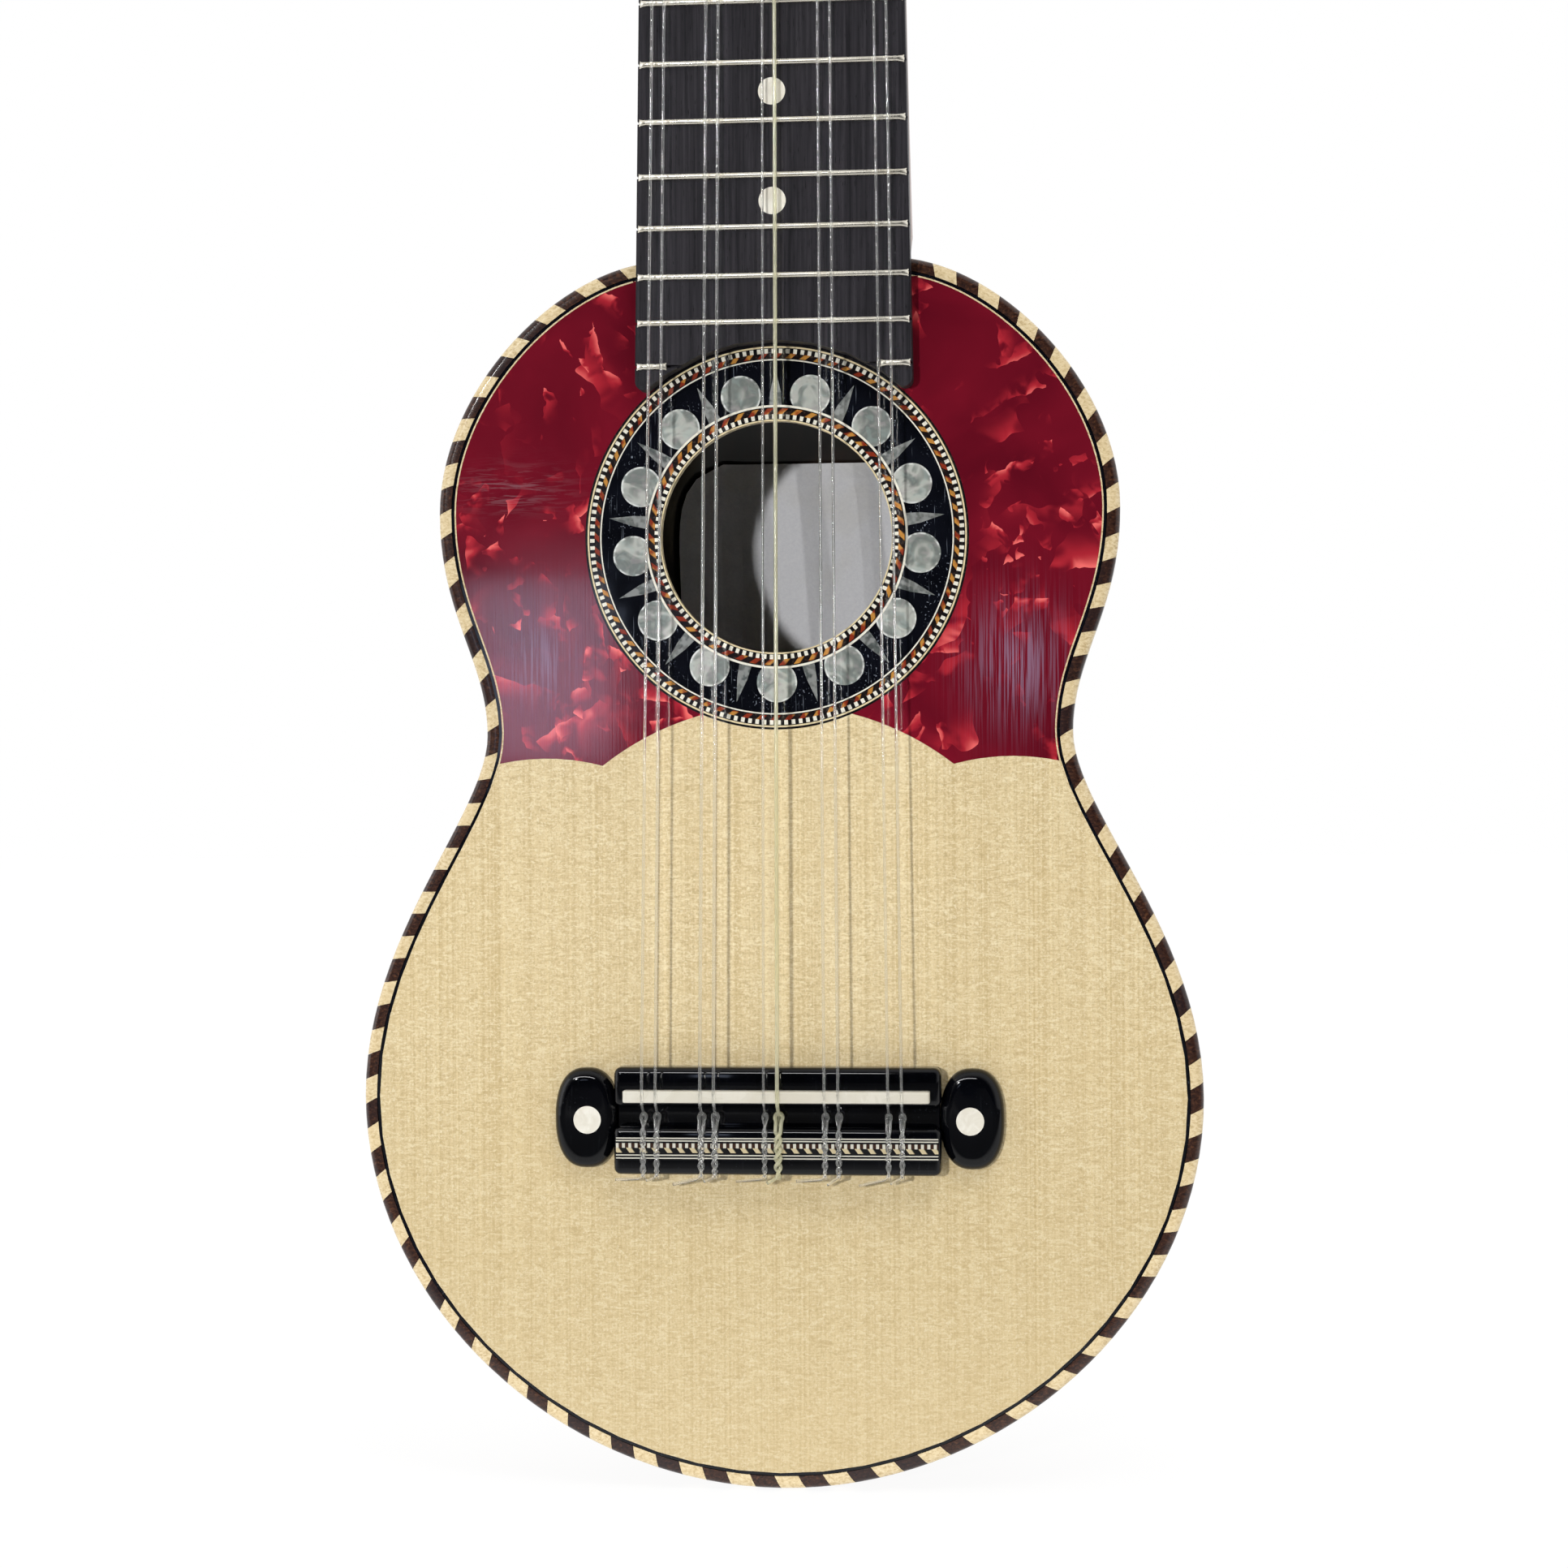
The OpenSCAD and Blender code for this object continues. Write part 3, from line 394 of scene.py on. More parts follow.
def pearloid_material():
    """Red with bright folded flakes, a painted reflection over scuffs at each waist, and a black
    band round the board's end.
    """
    s = Surface("red_pearloid")
    glow = s.math("MAXIMUM", s.flakes(16, 9, 0.062, 0.46), s.flakes(7.5, 6, 0.13, 0.50))
    zone = s.fade(s.noise(30, 1, 0.4, 0.5, 3.0), 0.38, 0.60)
    glow = s.mul(glow, s.add(0.25, s.mul(zone, 0.75)))
    colour = s.ramp(s.noise(30, 3, 0.8), (0.32, (0.10, 0.0030, 0.011)),
                    (0.68, (0.185, 0.006, 0.018)))
    colour = s.mix(s.fade(glow, 0.02, 0.55), colour, (0.42, 0.020, 0.034))
    colour = s.mix(s.fade(glow, 0.45, 1.0), colour, (0.90, 0.16, 0.15))
    r, _ = s.polar()
    side = s.math("ABSOLUTE", s.x)
    # A black band on the plate round the fretboard's end, between the rosette and the board.
    by_board = s.mul(s.math("LESS_THAN", side, BOARD_BAND_HALF),
                     s.math("GREATER_THAN", s.z, BOARD_BAND_LOW))
    board_end_band = s.mul(s.math("LESS_THAN", r, BOARD_END_R + BOARD_BAND_W), by_board)
    colour = s.mix(board_end_band, colour, BLACK)
    hair = s.noise((0.32, 8, 16), 2)
    # Painted reflection: a lavender glare is painted at each waist, streaked by the scratches;
    # the same patch also roughens the coat there as scuffs.
    glare_and_scuffs = s.mul(s.patch(side, 51.0, 9.0, 176.0, 11.0), s.fade(hair, 0.42, 0.62))
    colour = s.mix(s.mul(glare_and_scuffs, 0.34), colour, (0.42, 0.38, 0.58))
    dust = s.noise((9, 9, 0.9), 3, 1.2, 0.6, 5.0)
    band = s.mul(s.patch(s.x, -57.0, 10.0, 214.0, 4.0), s.fade(dust, 0.46, 0.62))
    colour = s.mix(s.mul(band, 0.16), colour, (0.50, 0.40, 0.46))
    s.bump(s.add(s.noise(34, 1), s.mul(hair, 0.03)), 0.4, 0.55)
    rough = s.add(0.10, s.mul(glare_and_scuffs, 0.30))
    return s.done(colour, rough, Specular_IOR_Level=0.5, Coat_Weight=0.5, Coat_Roughness=0.05)


def mosaic(s, across, along, bands, tooth_share, dash_lean):
    """Banded inlay: across runs 0 to 1 over the bands, along counts teeth."""
    tooth = s.math("LESS_THAN", s.frac(along), tooth_share)
    teeth = s.mix(tooth, BLACK, WHITE_LINE)
    brown = s.mix(tooth, (0.045, 0.018, 0.010), WHITE_LINE)
    lean = s.add(s.mul(along, 0.5), s.mul(across, dash_lean))
    dash = s.fade(s.frac(lean), 0.48, 0.34)
    tint = s.fade(s.noise(2.6, 1, 0, 0.5, 4.0), 0.44, 0.56)
    gold = s.mix(tint, (0.24, 0.028, 0.010), (0.50, 0.23, 0.045))
    dashes = s.mix(dash, (0.010, 0.006, 0.006), gold)
    slash = s.mix(dash, BLACK, CREAM)
    kinds = {"white": WHITE_LINE, "black": BLACK, "cream": CREAM, "teeth": teeth,
             "brown_teeth": brown, "dashes": dashes, "slashes": slash}
    colour = BLACK
    start = -0.01
    for end, kind in bands:
        colour = s.mix(s.between(across, start, end), colour, kinds[kind])
        start = end
    return colour


def ring_material(name, r_in, r_out, bands, teeth):
    """A mosaic ring of the rosette."""
    s = Surface(name)
    r, turn = s.polar()
    across = s.math("DIVIDE", s.math("SUBTRACT", r, r_in), r_out - r_in)
    colour = mosaic(s, across, s.mul(turn, teeth), bands, 0.50, 1.1)
    colour = s.stain(colour, (0.10, 0.07, 0.05), 0.25, s.noise(0.7, 2), 0.5, 0.7)
    s.bump(s.noise(5, 2), 0.05, 0.3)
    return s.done(colour, 0.16, Specular_IOR_Level=0.4, Coat_Weight=0.4, Coat_Roughness=0.05)


def bridge_inlay_material():
    """The mosaic strip on the tie block."""
    s = Surface("bridge_mosaic")
    lo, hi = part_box("bridge_inlay")
    across = s.math("DIVIDE", s.math("SUBTRACT", s.z, lo.z / MM), (hi.z - lo.z) / MM)
    bands = [(0.06, "black"), (0.11, "white"), (0.19, "black"), (0.24, "white"),
             (0.32, "black"), (0.53, "slashes"), (0.73, "brown_teeth"), (0.81, "black"),
             (0.86, "white"), (0.92, "black"), (0.97, "white"), (1.01, "black")]
    colour = mosaic(s, across, s.math("DIVIDE", s.add(s.x, 200.3), 1.35), bands, 0.46, 1.3)
    colour = s.mix(0.25, colour, BLACK)
    s.bump(s.noise(1.5, 2), 0.03, 0.3)
    return s.done(colour, 0.14, Specular_IOR_Level=0.4, Coat_Weight=0.4, Coat_Roughness=0.05)


def pearl_material():
    """Mother-of-pearl discs with a painted highlight round their rims, and the dark spikes
    between them.
    """
    s = Surface("pearl")
    r, turn = s.polar()
    phase = s.mul(turn, DISCS)
    nearest = s.math("ROUND", phase)
    off = s.mul(s.math("SUBTRACT", phase, nearest), 2 * math.pi / DISCS)
    u = s.mul(r, s.math("SINE", off))
    v = s.math("SUBTRACT", s.mul(r, s.math("COSINE", off)), DISC_RING_R)
    reach = s.math("SQRT", s.add(s.mul(u, u), s.mul(v, v)))
    flow = s.noise(5.2, 2, 1.0)
    wave = s.add(s.mul(flow, 9.0), s.add(s.mul(u, 0.22), s.mul(nearest, 2.3)))
    sheen = s.math("SINE", s.mul(wave, 1.5))
    colour = s.ramp(s.add(0.5, s.mul(sheen, 0.5)), (0.0, (0.19, 0.21, 0.195)),
                    (0.55, (0.31, 0.33, 0.30)), (1.0, (0.50, 0.51, 0.465)))
    tint = s.noise(2.2, 1, 0.8, 0.5, 8.0)
    colour = s.stain(colour, (0.38, 0.50, 0.47), 0.25, tint, 0.5, 0.7)
    colour = s.stain(colour, (0.50, 0.40, 0.43), 0.22, tint, 0.46, 0.3)
    # Painted highlight: a bright glint painted round each disc's rim.
    rim_glint = s.mul(s.fade(reach, 3.75, 4.15), s.fade(s.noise(1.2, 1), 0.40, 0.62))
    colour = s.mix(s.mul(rim_glint, 0.85), colour, (0.88, 0.90, 0.86))
    colour = s.stain(colour, (0.030, 0.036, 0.038), 0.68, reach, 4.25, 4.5)
    s.bump(s.add(flow, s.mul(s.fade(reach, 4.3, 3.3), 0.6)), 0.12, 0.6)
    return s.done(colour, 0.22, Metallic=0.15, Specular_IOR_Level=0.6, Coat_Weight=0.6,
                  Coat_Roughness=0.04)


def black_lacquer_material(name, dusty, tone=1.0, shine=0.26):
    """Blue-black gloss, with dust and hairlines where dusty."""
    s = Surface(name)
    colour = s.ramp(s.noise(9, 3), (0.3, (0.0018 * tone, 0.002 * tone, 0.0032 * tone)),
                    (0.7, (0.0045 * tone, 0.0052 * tone, 0.0088 * tone)))
    where = s.fade(s.noise(9, 1, 0, 0.5, 2.0), 0.46, 0.62)
    grit = s.mul(s.fade(s.noise(0.42, 1, 0.4), 0.66, 0.74), where)
    hair = s.fade(s.noise((0.3, 4, 9), 2, 0.2), 0.66, 0.74)
    marks = s.math("MAXIMUM", grit, s.mul(hair, 0.5))
    colour = s.mix(s.mul(marks, dusty), colour, (0.22, 0.25, 0.30))
    s.bump(s.noise(14, 2), 0.25, 0.35)
    rough = s.add(0.07, s.mul(marks, 0.3 * dusty))
    return s.done(colour, rough, Specular_IOR_Level=shine, Coat_Weight=0.1, Coat_Roughness=0.03)


def ebony_material():
    """Near black with upright grain and fine pores."""
    s = Surface("ebony")
    grain = s.noise((0.7, 0.9, 30), 3, 0.3, 0.6)
    colour = s.ramp(grain, (0.30, (0.013, 0.0125, 0.015)), (0.60, (0.031, 0.029, 0.034)),
                    (0.80, (0.044, 0.041, 0.047)))
    pore = s.fade(s.noise((0.16, 0.3, 2.6), 1), 0.66, 0.72)
    colour = s.mix(s.mul(pore, 0.7), colour, (0.003, 0.003, 0.003))
    s.bump(s.math("SUBTRACT", s.mul(grain, 0.3), pore), 0.05, 0.5)
    return s.done(colour, s.add(0.34, s.mul(grain, 0.18)), Specular_IOR_Level=0.10)


def binding_material(name, dark):
    """One wood of the two-tone binding, with a tone of its own for each strip."""
    s = Surface(name)
    own = s.attribute("strip")
    streak = s.noise((0.9, 2.5, 0.55), 3, 0.6, 0.6)
    if dark:
        colour = s.ramp(streak, (0.34, (0.016, 0.007, 0.006)), (0.56, (0.045, 0.018, 0.011)),
                        (0.74, (0.12, 0.05, 0.025)))
        colour = s.stain(colour, (0.012, 0.010, 0.014), 0.5, own, 0.55, 1.0)
    else:
        colour = s.ramp(streak, (0.34, (0.50, 0.37, 0.19)), (0.50, (0.70, 0.56, 0.33)),
                        (0.70, (0.82, 0.70, 0.47)))
        colour = s.mix(s.mul(own, 0.35), colour, (0.76, 0.60, 0.34))
    s.bump(streak, 0.05, 0.4)
    return s.done(colour, 0.26, Specular_IOR_Level=0.3, Coat_Weight=0.25, Coat_Roughness=0.06)


def wood_material(name, dark, middle, light, coat, ring_gap, rough):
    """Lacquered hardwood with wavy growth rings, and painted shade: nearly black where marked as
    shaded inside.
    """
    s = Surface(name)
    bend = s.noise((26, 26, 120), 2, 0.6)
    rings = s.math("SINE", s.add(s.mul(s.add(s.x, s.mul(s.y, 0.6)), 2 * math.pi / ring_gap),
                                 s.mul(bend, 11.0)))
    colour = s.ramp(s.add(0.5, s.mul(rings, 0.5)), (0.0, dark), (0.55, middle), (1.0, light))
    fibre = s.noise((0.8, 0.8, 24), 3, 0.2, 0.6)
    colour = s.stain(colour, dark, 0.45, fibre, 0.46, 0.66)
    pore = s.fade(s.noise((0.3, 0.3, 4), 1), 0.66, 0.74)
    colour = s.mix(s.mul(pore, 0.5), colour, (0.02, 0.01, 0.006))
    # Painted shade: the inside of the bowl is painted nearly black, standing in for the dark
    # inside the body.
    colour = s.mix(s.mul(s.attribute("inside"), 0.97), colour, (0.008, 0.005, 0.004))
    s.bump(s.math("SUBTRACT", s.mul(fibre, 0.4), s.mul(pore, 0.5)), 0.06, 0.35)
    return s.done(colour, s.add(rough, s.mul(fibre, 0.1)), Specular_IOR_Level=0.35,
                  Coat_Weight=coat, Coat_Roughness=0.07)


def metal_material(name, colour, glare_and_scuffs, rough):
    """Polished metal with fine wipe marks and cloudy tarnish."""
    s = Surface(name)
    wipe = s.noise((0.6, 6, 6), 3, 0.2, 0.6)
    mixed = s.stain(colour, glare_and_scuffs, 0.6, s.noise(7, 3, 0.5), 0.45, 0.7)
    s.bump(wipe, 0.02, 0.3)
    return s.done(mixed, s.add(rough, s.mul(wipe, 0.16)), Metallic=1.0)


def pale_material(name, colour, shade, rough, size=3.0):
    """Bone, dots and button plastic: a pale body with soft clouds and faint lines."""
    s = Surface(name)
    cloud = s.noise(size, 3, 0.8, 0.55)
    line = s.noise((0.35, 0.5, 5), 2, 0.2)
    mixed = s.mix(s.fade(cloud, 0.36, 0.66), shade, colour)
    mixed = s.stain(mixed, shade, 0.25, line, 0.56, 0.7)
    s.bump(line, 0.02, 0.3)
    return s.done(mixed, s.add(rough, s.mul(cloud, 0.1)), Specular_IOR_Level=0.5,
                  Coat_Weight=0.3, Coat_Roughness=0.08)


def nylon_material(name, colour, through):
    """Clear string nylon, a little cloudier here and there along its length."""
    s = Surface(name)
    length = s.noise((6, 6, 30), 2)
    mixed = s.stain(colour, (0.80, 0.80, 0.78), 0.2, length, 0.45, 0.65)
    rough = s.add(0.04, s.mul(length, 0.06))
    return s.done(mixed, rough, Transmission_Weight=through, IOR=1.5, Specular_IOR_Level=0.7)


def paper_material():
    """Plain matt paper, slightly aged."""
    s = Surface("label_paper")
    fibre = s.noise((0.6, 2, 0.6), 4, 0.4, 0.7)
    colour = s.ramp(fibre, (0.35, (0.80, 0.80, 0.83)), (0.65, (0.88, 0.88, 0.90)))
    colour = s.stain(colour, (0.66, 0.62, 0.52), 0.25, s.noise(14, 2), 0.5, 0.7)
    s.bump(fibre, 0.03, 0.3)
    return s.done(colour, 0.75, Specular_IOR_Level=0.2)


MAT = {
    "spruce": spruce_material(),
    "red_pearloid": pearloid_material(),
    "outer_ring": ring_material(
        "rosette_outer", 37.6, 41.1,
        [(0.08, "white"), (0.14, "black"), (0.43, "dashes"), (0.71, "teeth"), (0.76, "black"),
         (0.86, "cream"), (1.01, "black")], 160),
    "inner_ring": ring_material(
        "rosette_inner", 24.7, 28.1,
        [(0.09, "cream"), (0.13, "black"), (0.42, "teeth"), (0.79, "dashes"), (0.86, "black"),
         (1.01, "white")], 108),
    "bridge_mosaic": bridge_inlay_material(),
    "pearl": pearl_material(),
    "black_lacquer": black_lacquer_material("black_lacquer", 0.9),
    "bridge_black": black_lacquer_material("bridge_black", 0.04, 0.35, 0.22),
    "black_line": black_lacquer_material("black_line", 0.1),
    "ebony": ebony_material(),
    "light_binding": binding_material("light_binding", False),
    "dark_binding": binding_material("dark_binding", True),
    "bowl_wood": wood_material("bowl_wood", (0.075, 0.024, 0.010), (0.145, 0.048, 0.018),
                               (0.23, 0.084, 0.030), 0.35, 6.5, 0.30),
    "neck_wood": wood_material("neck_wood", (0.14, 0.052, 0.022), (0.21, 0.082, 0.035),
                               (0.29, 0.122, 0.053), 0.3, 5.0, 0.32),
    "brace_wood": wood_material("brace_wood", (0.42, 0.28, 0.13), (0.58, 0.42, 0.22),
                                (0.68, 0.52, 0.30), 0.0, 2.4, 0.55),
    "fret_metal": metal_material("fret_metal", (0.84, 0.80, 0.70), (0.66, 0.60, 0.47), 0.20),
    "tuner_brass": metal_material("tuner_brass", (0.80, 0.56, 0.24), (0.50, 0.32, 0.13), 0.20),
    "roller_steel": metal_material("roller_steel", (0.66, 0.66, 0.65), (0.45, 0.44, 0.42), 0.26),
    "bone": pale_material("bone", (0.70, 0.67, 0.58), (0.62, 0.58, 0.48), 0.22, 14.0),
    "white_dot": pale_material("white_dot", (0.84, 0.81, 0.72), (0.74, 0.70, 0.60), 0.2),
    "button": pale_material("button", (0.82, 0.78, 0.66), (0.60, 0.55, 0.44), 0.14, 5.0),
    "sleeve": pale_material("sleeve", (0.74, 0.73, 0.70), (0.60, 0.59, 0.56), 0.3),
    "nylon": nylon_material("nylon", (0.97, 0.97, 0.95), 0.93),
    "wound_nylon": nylon_material("wound_nylon", (0.84, 0.82, 0.60), 0.7),
    "label_paper": paper_material(),
}


# ---- body outline ----
BOUTS = [
    [(0, 0), (47.2, 0), (LOWER_HALF, LOWER_Z - 45.6), (LOWER_HALF, LOWER_Z)],
    [(LOWER_HALF, LOWER_Z), (LOWER_HALF, LOWER_Z + 35), (WAIST_HALF, WAIST_Z - 17),
     (WAIST_HALF, WAIST_Z)],
    [(WAIST_HALF, WAIST_Z), (WAIST_HALF, WAIST_Z + 16), (UPPER_HALF, UPPER_Z - 22),
     (UPPER_HALF, UPPER_Z)],
    [(UPPER_HALF, UPPER_Z), (UPPER_HALF, UPPER_Z + 25.5), (CORNER_HALF + 21, BODY_LEN - 3),
     (CORNER_HALF, BODY_LEN)]]
BOUT_STEPS = [34, 24, 20, 26]


def bezier(curve, t):
    weights = [(1 - t) ** 3, 3 * (1 - t) ** 2 * t, 3 * (1 - t) * t * t, t ** 3]
    return Vector([sum(w * p[k] for w, p in zip(weights, curve)) for k in (0, 1)])


def body_outline():
    half = [Vector((0, 0))]
    for curve, steps in zip(BOUTS, BOUT_STEPS):
        half += [bezier(curve, j / steps) for j in range(1, steps + 1)]
    half.append(Vector((CORNER_HALF - 1, BODY_LEN)))
    return half + [Vector((-p.x, p.y)) for p in reversed(half[1:])]


OUTLINE = body_outline()
RING_N = len(OUTLINE)
HALF_N = (RING_N + 1) // 2


def on_neck_line(p):
    return p.y >= BODY_LEN and abs(p.x) < CORNER_HALF - 0.5


def outward(i):
    t = (OUTLINE[(i + 1) % RING_N] - OUTLINE[i - 1]).normalized()
    return Vector((t.y, -t.x))


LENGTHS = [0.0]
for step in range(1, HALF_N - 1):
    LENGTHS.append(LENGTHS[-1] + (OUTLINE[step] - OUTLINE[step - 1]).length)
NECK_LEN = LENGTHS[-1]


def along(s, inward):
    """Point on the outline at distance s from the tail, right side positive, moved inwards."""
    q = min(abs(s), NECK_LEN - 1e-6)
    i = max(k for k, length in enumerate(LENGTHS) if length <= q)
    t = (q - LENGTHS[i]) / (OUTLINE[i + 1] - OUTLINE[i]).length
    p = OUTLINE[i].lerp(OUTLINE[i + 1], t)
    n = outward(i).lerp(outward(i + 1), t).normalized()
    p = p - n * inward
    return p if s >= 0 else Vector((-p.x, p.y))


# ---- bowl ----
WALL = 6
TOP_T = 2.5
SPINE_Z = 62
FLAT_ANGLE = 80
FLAT_FROM_Z = 120
RIM_WALL = 7
CAVITY_TOP = 246
SQUEEZE_Z = 190
NECK_PINCH = 0.85
SIDE_POWER, BACK_POWER = 0.8, 2.2


def back_depth(z):
    if z < FLAT_FROM_Z:
        return BODY_DEPTH
    return HEEL_DEPTH + (BODY_DEPTH - HEEL_DEPTH) * (
        1 - ((z - FLAT_FROM_Z) / (BODY_LEN - FLAT_FROM_Z)) ** BACK_POWER)


def bowl_ring(ring, angle, rim_glint, skin):
    c = math.cos(math.radians(angle)) ** SIDE_POWER
    rise = math.sin(math.radians(angle)) / math.sin(math.radians(FLAT_ANGLE))
    out = []
    for p in ring:
        target = SPINE_Z + skin + p.y * (1 - (SPINE_Z + skin) / BODY_LEN)
        z = p.y + (target - p.y) * (1 - c)
        out.append(at(p.x * c, rim_glint + (back_depth(z) - skin - rim_glint) * rise, z))
    return out


def strip_faces(base):
    faces = []
    for i in range(HALF_N - 1):
        a, b = base + i, base + i + 1
        c, d = base + RING_N - i - 1, base + (RING_N - i) % RING_N
        faces.append([a, b, c] if i == 0 else [a, b, c, d])
    return [f for f in faces if len(set(f)) > 2]


def bowl():
    squeeze = (CAVITY_TOP - SQUEEZE_Z) / (BODY_LEN - RIM_WALL - SQUEEZE_Z)
    cavity, rebate = [], []
    for i, p in enumerate(OUTLINE):
        q = p - outward(i) * RIM_WALL
        x = q.x * (NECK_PINCH if on_neck_line(p) else 1)
        z = q.y if q.y < SQUEEZE_Z else SQUEEZE_Z + (q.y - SQUEEZE_Z) * squeeze
        cavity.append(Vector((x, z)))
        rebate.append(p - outward(i) * (0.1 if on_neck_line(p) else BIND_W))
    rings = [bowl_ring(cavity, a, TOP_T, WALL) for a in range(FLAT_ANGLE, -1, -8)]
    # Points before this count are the inside of the bowl, which gets painted shade.
    inside = len(rings) * RING_N
    rings += [[at(p.x, d, p.y) for p in rebate] for d in (TOP_T, BIND_T)]
    rings += [bowl_ring(OUTLINE, a, BIND_T, 0) for a in range(0, FLAT_ANGLE + 1, 4)]
    verts, faces = loft(rings, capped=False)
    faces += strip_faces(0) + strip_faces((len(rings) - 1) * RING_N)
    obj = piece("bowl_shell", (verts, faces), "bowl_wood", stands_for=["body_bowl"], angle=50)
    store(obj, "inside", [1.0 if k < inside else 0.0 for k in range(len(verts))])


# ---- binding and border line ----
BIND_STEP = 5.3
BIND_SLANT = 1.5
BIND_ROUND = 1.5
STRIP_RINGS = 7
STRIP_GAP = 0.03
BORDER_LOW_Z = 148
BORDER_SECTION = [(0.02, 0.3), (0.02, -0.02), (0.34, -0.02), (0.34, 0.3)]


def binding_profile():
    """Inset and depth round one strip, with a rounded outer edge."""
    arc = [(BIND_ROUND * (1 - math.sin(a)), BIND_ROUND * (1 - math.cos(a)))
           for a in (math.radians(15 * k) for k in range(7))]
    return [(BIND_W - 0.03, BIND_T - 0.05), (BIND_W - 0.03, -0.02), (2.2, -0.06)] + [
        (d, h - 0.06) for d, h in arc] + [(-0.02, BIND_T - 0.05)]


def binding():
    """Slanted strips of two woods in turn, from the neck round the tail and back."""
    count = 2 * int(NECK_LEN // BIND_STEP)
    length = 2 * NECK_LEN / count
    profile = binding_profile()
    for first, name in ((0, "light"), (1, "dark")):
        strips, tones = [], []
        for k in range(first, count, 2):
            a = -NECK_LEN + k * length
            ends = [0 if k == 0 else BIND_SLANT, 0 if k == count - 1 else BIND_SLANT]
            rings = []
            for j in range(STRIP_RINGS):
                t = j / (STRIP_RINGS - 1)
                lag = ends[0] * (1 - t) + ends[1] * t
                gap = STRIP_GAP * (1 - 2 * t)
                ring = []
                for d, h in profile:
                    p = along(a + length * t - lag * max(d, 0) / BIND_W + gap, d)
                    ring.append(at(p.x, h, p.y))
                rings.append(ring)
            strips.append(loft(rings))
            tones += [random.random()] * (STRIP_RINGS * len(profile))
        obj = piece(f"binding_strips_{name}", joined(strips), f"{name}_binding",
                    stands_for=[f"binding_{name}"], angle=35)
        store(obj, "strip", tones)


def border_line():
    """The thin pale line between the red plate and the black purfling."""
    inner = BIND_W + PURF_W
    for side, name in ((-1, "left"), (1, "right")):
        rings = []
        s = NECK_LEN - 3
        while along(s, inner).y > BORDER_LOW_Z:
            ring = []
            for d, h in BORDER_SECTION:
                p = along(s * side, inner + d)
                ring.append(at(p.x, h, p.y))
            rings.append(ring)
            s -= 1.5
        piece(f"plate_border_{name}", loft(rings), "light_binding")


# ---- neck ----
def neck_half(z):
    return NUT_W / 2 + (BOARD_W - NUT_W) / 2 * (NUT_Z - z) / (NUT_Z - BODY_LEN)


def neck():
    """Stations: height above the body, half width, depth, flat side, and how round it is."""
    stations = [(0, CORNER_HALF - 0.2, HEEL_DEPTH, 5, 0.8)]
    for dz, drop, side, power in (
            (6, 3.4, 4.5, 0.8), (13, 7.6, 4, 0.82), (21, 12.8, 3.4, 0.86), (29, 17.6, 3, 0.9),
            (37, 21.2, 2.6, 0.94), (46, 23.7, 2.2, 1), (58, 25, 2, 1), (100, 26, 2, 1)):
        stations.append((dz, neck_half(BODY_LEN + dz), HEEL_DEPTH - drop, side, power))
    top = NUT_Z - BODY_LEN
    stations += [(top - 24, neck_half(NUT_Z - 24), 16.6, 2, 1),
                 (top - 12, neck_half(NUT_Z - 12), 16, 3, 0.8),
                 (top - 3, NUT_W / 2, 16, 5, 0.5), (top + 5, NUT_W / 2, HEAD_T, 7, 0.35)]
    rings = []
    sides = 22
    for a, b in zip(stations, stations[1:]):
        for j in range(4 if b is not stations[-1] else 5):
            t = j / 4
            z, half, depth, side, power = [p + (q - p) * t for p, q in zip(a, b)]
            lean = math.tan(HEAD_TILT) * max(0, z - top + 3) / 8
            arc = [(half, 0)]
            for k in range(sides + 1):
                g = math.radians(90 * k / sides)
                arc.append((half * math.cos(g) ** power,
                            side + (depth - side) * math.sin(g) ** power if k else side))
            whole = arc + [(-x, y) for x, y in reversed(arc[:-1])]
            rings.append([at(x, y, BODY_LEN + z - lean * y) for x, y in whole])
    piece("neck_shaft", loft(rings), "neck_wood", stands_for=["neck"])


# ---- frets ----
FRETS = 15
CROWN_W = 1.6
CROWN_H = 0.9
CROWN_SHARE = 0.78


def fret_z(n):
    return SADDLE_Z + SCALE_LEN * 2 ** (-n / 12)


def frets():
    """Crowned wires with flared ends; the rosette cuts the last in two."""
    wires = []
    for n in range(1, FRETS + 1):
        z = fret_z(n)
        half = neck_half(z) - 0.3
        rise = z - HOLE_Z
        reach = BOARD_END_R + 0.5
        spans = [(-half, half)]
        if rise + CROWN_W < reach:
            gap = math.sqrt(reach ** 2 - (rise - CROWN_W / 2) ** 2)
            spans = [(-half, -gap), (gap, half)]
        for x0, x1 in spans:
            rings = []
            for x, grow, wide in ((x0, 0.05, 1.0), (x0 + 0.25, 0.45, 1.0),
                                  (x0 + 1.5, 1.0, CROWN_SHARE),
                                  (x1 - 1.5, 1.0, CROWN_SHARE), (x1 - 0.25, 0.45, 1.0),
                                  (x1, 0.05, 1.0)):
                ring = []
                for k in range(11):
                    g = math.pi * k / 10
                    ring.append(at(x, -BOARD_T + 0.05 - CROWN_H * grow * math.sin(g) ** 0.8,
                                   z - CROWN_W / 2 * wide * math.cos(g)))
                rings.append(ring)
            wires.append(loft(rings))
    piece("fret_wires", joined(wires), "fret_metal", stands_for=["frets"])


# ---- bridge ----
BLOCK_HALF = 34.75
TIE_LOW, TIE_HIGH, TIE_H = 67.6, 77.7, 6.5
BRIDGE_HIGH = 90.3
CHANNEL_HIGH = 82
EAR_X, EAR_Z = 41.2, 79.2
EAR_HALF_X, EAR_HALF_Z = 6.8, 10.7
EAR_H = 3.6


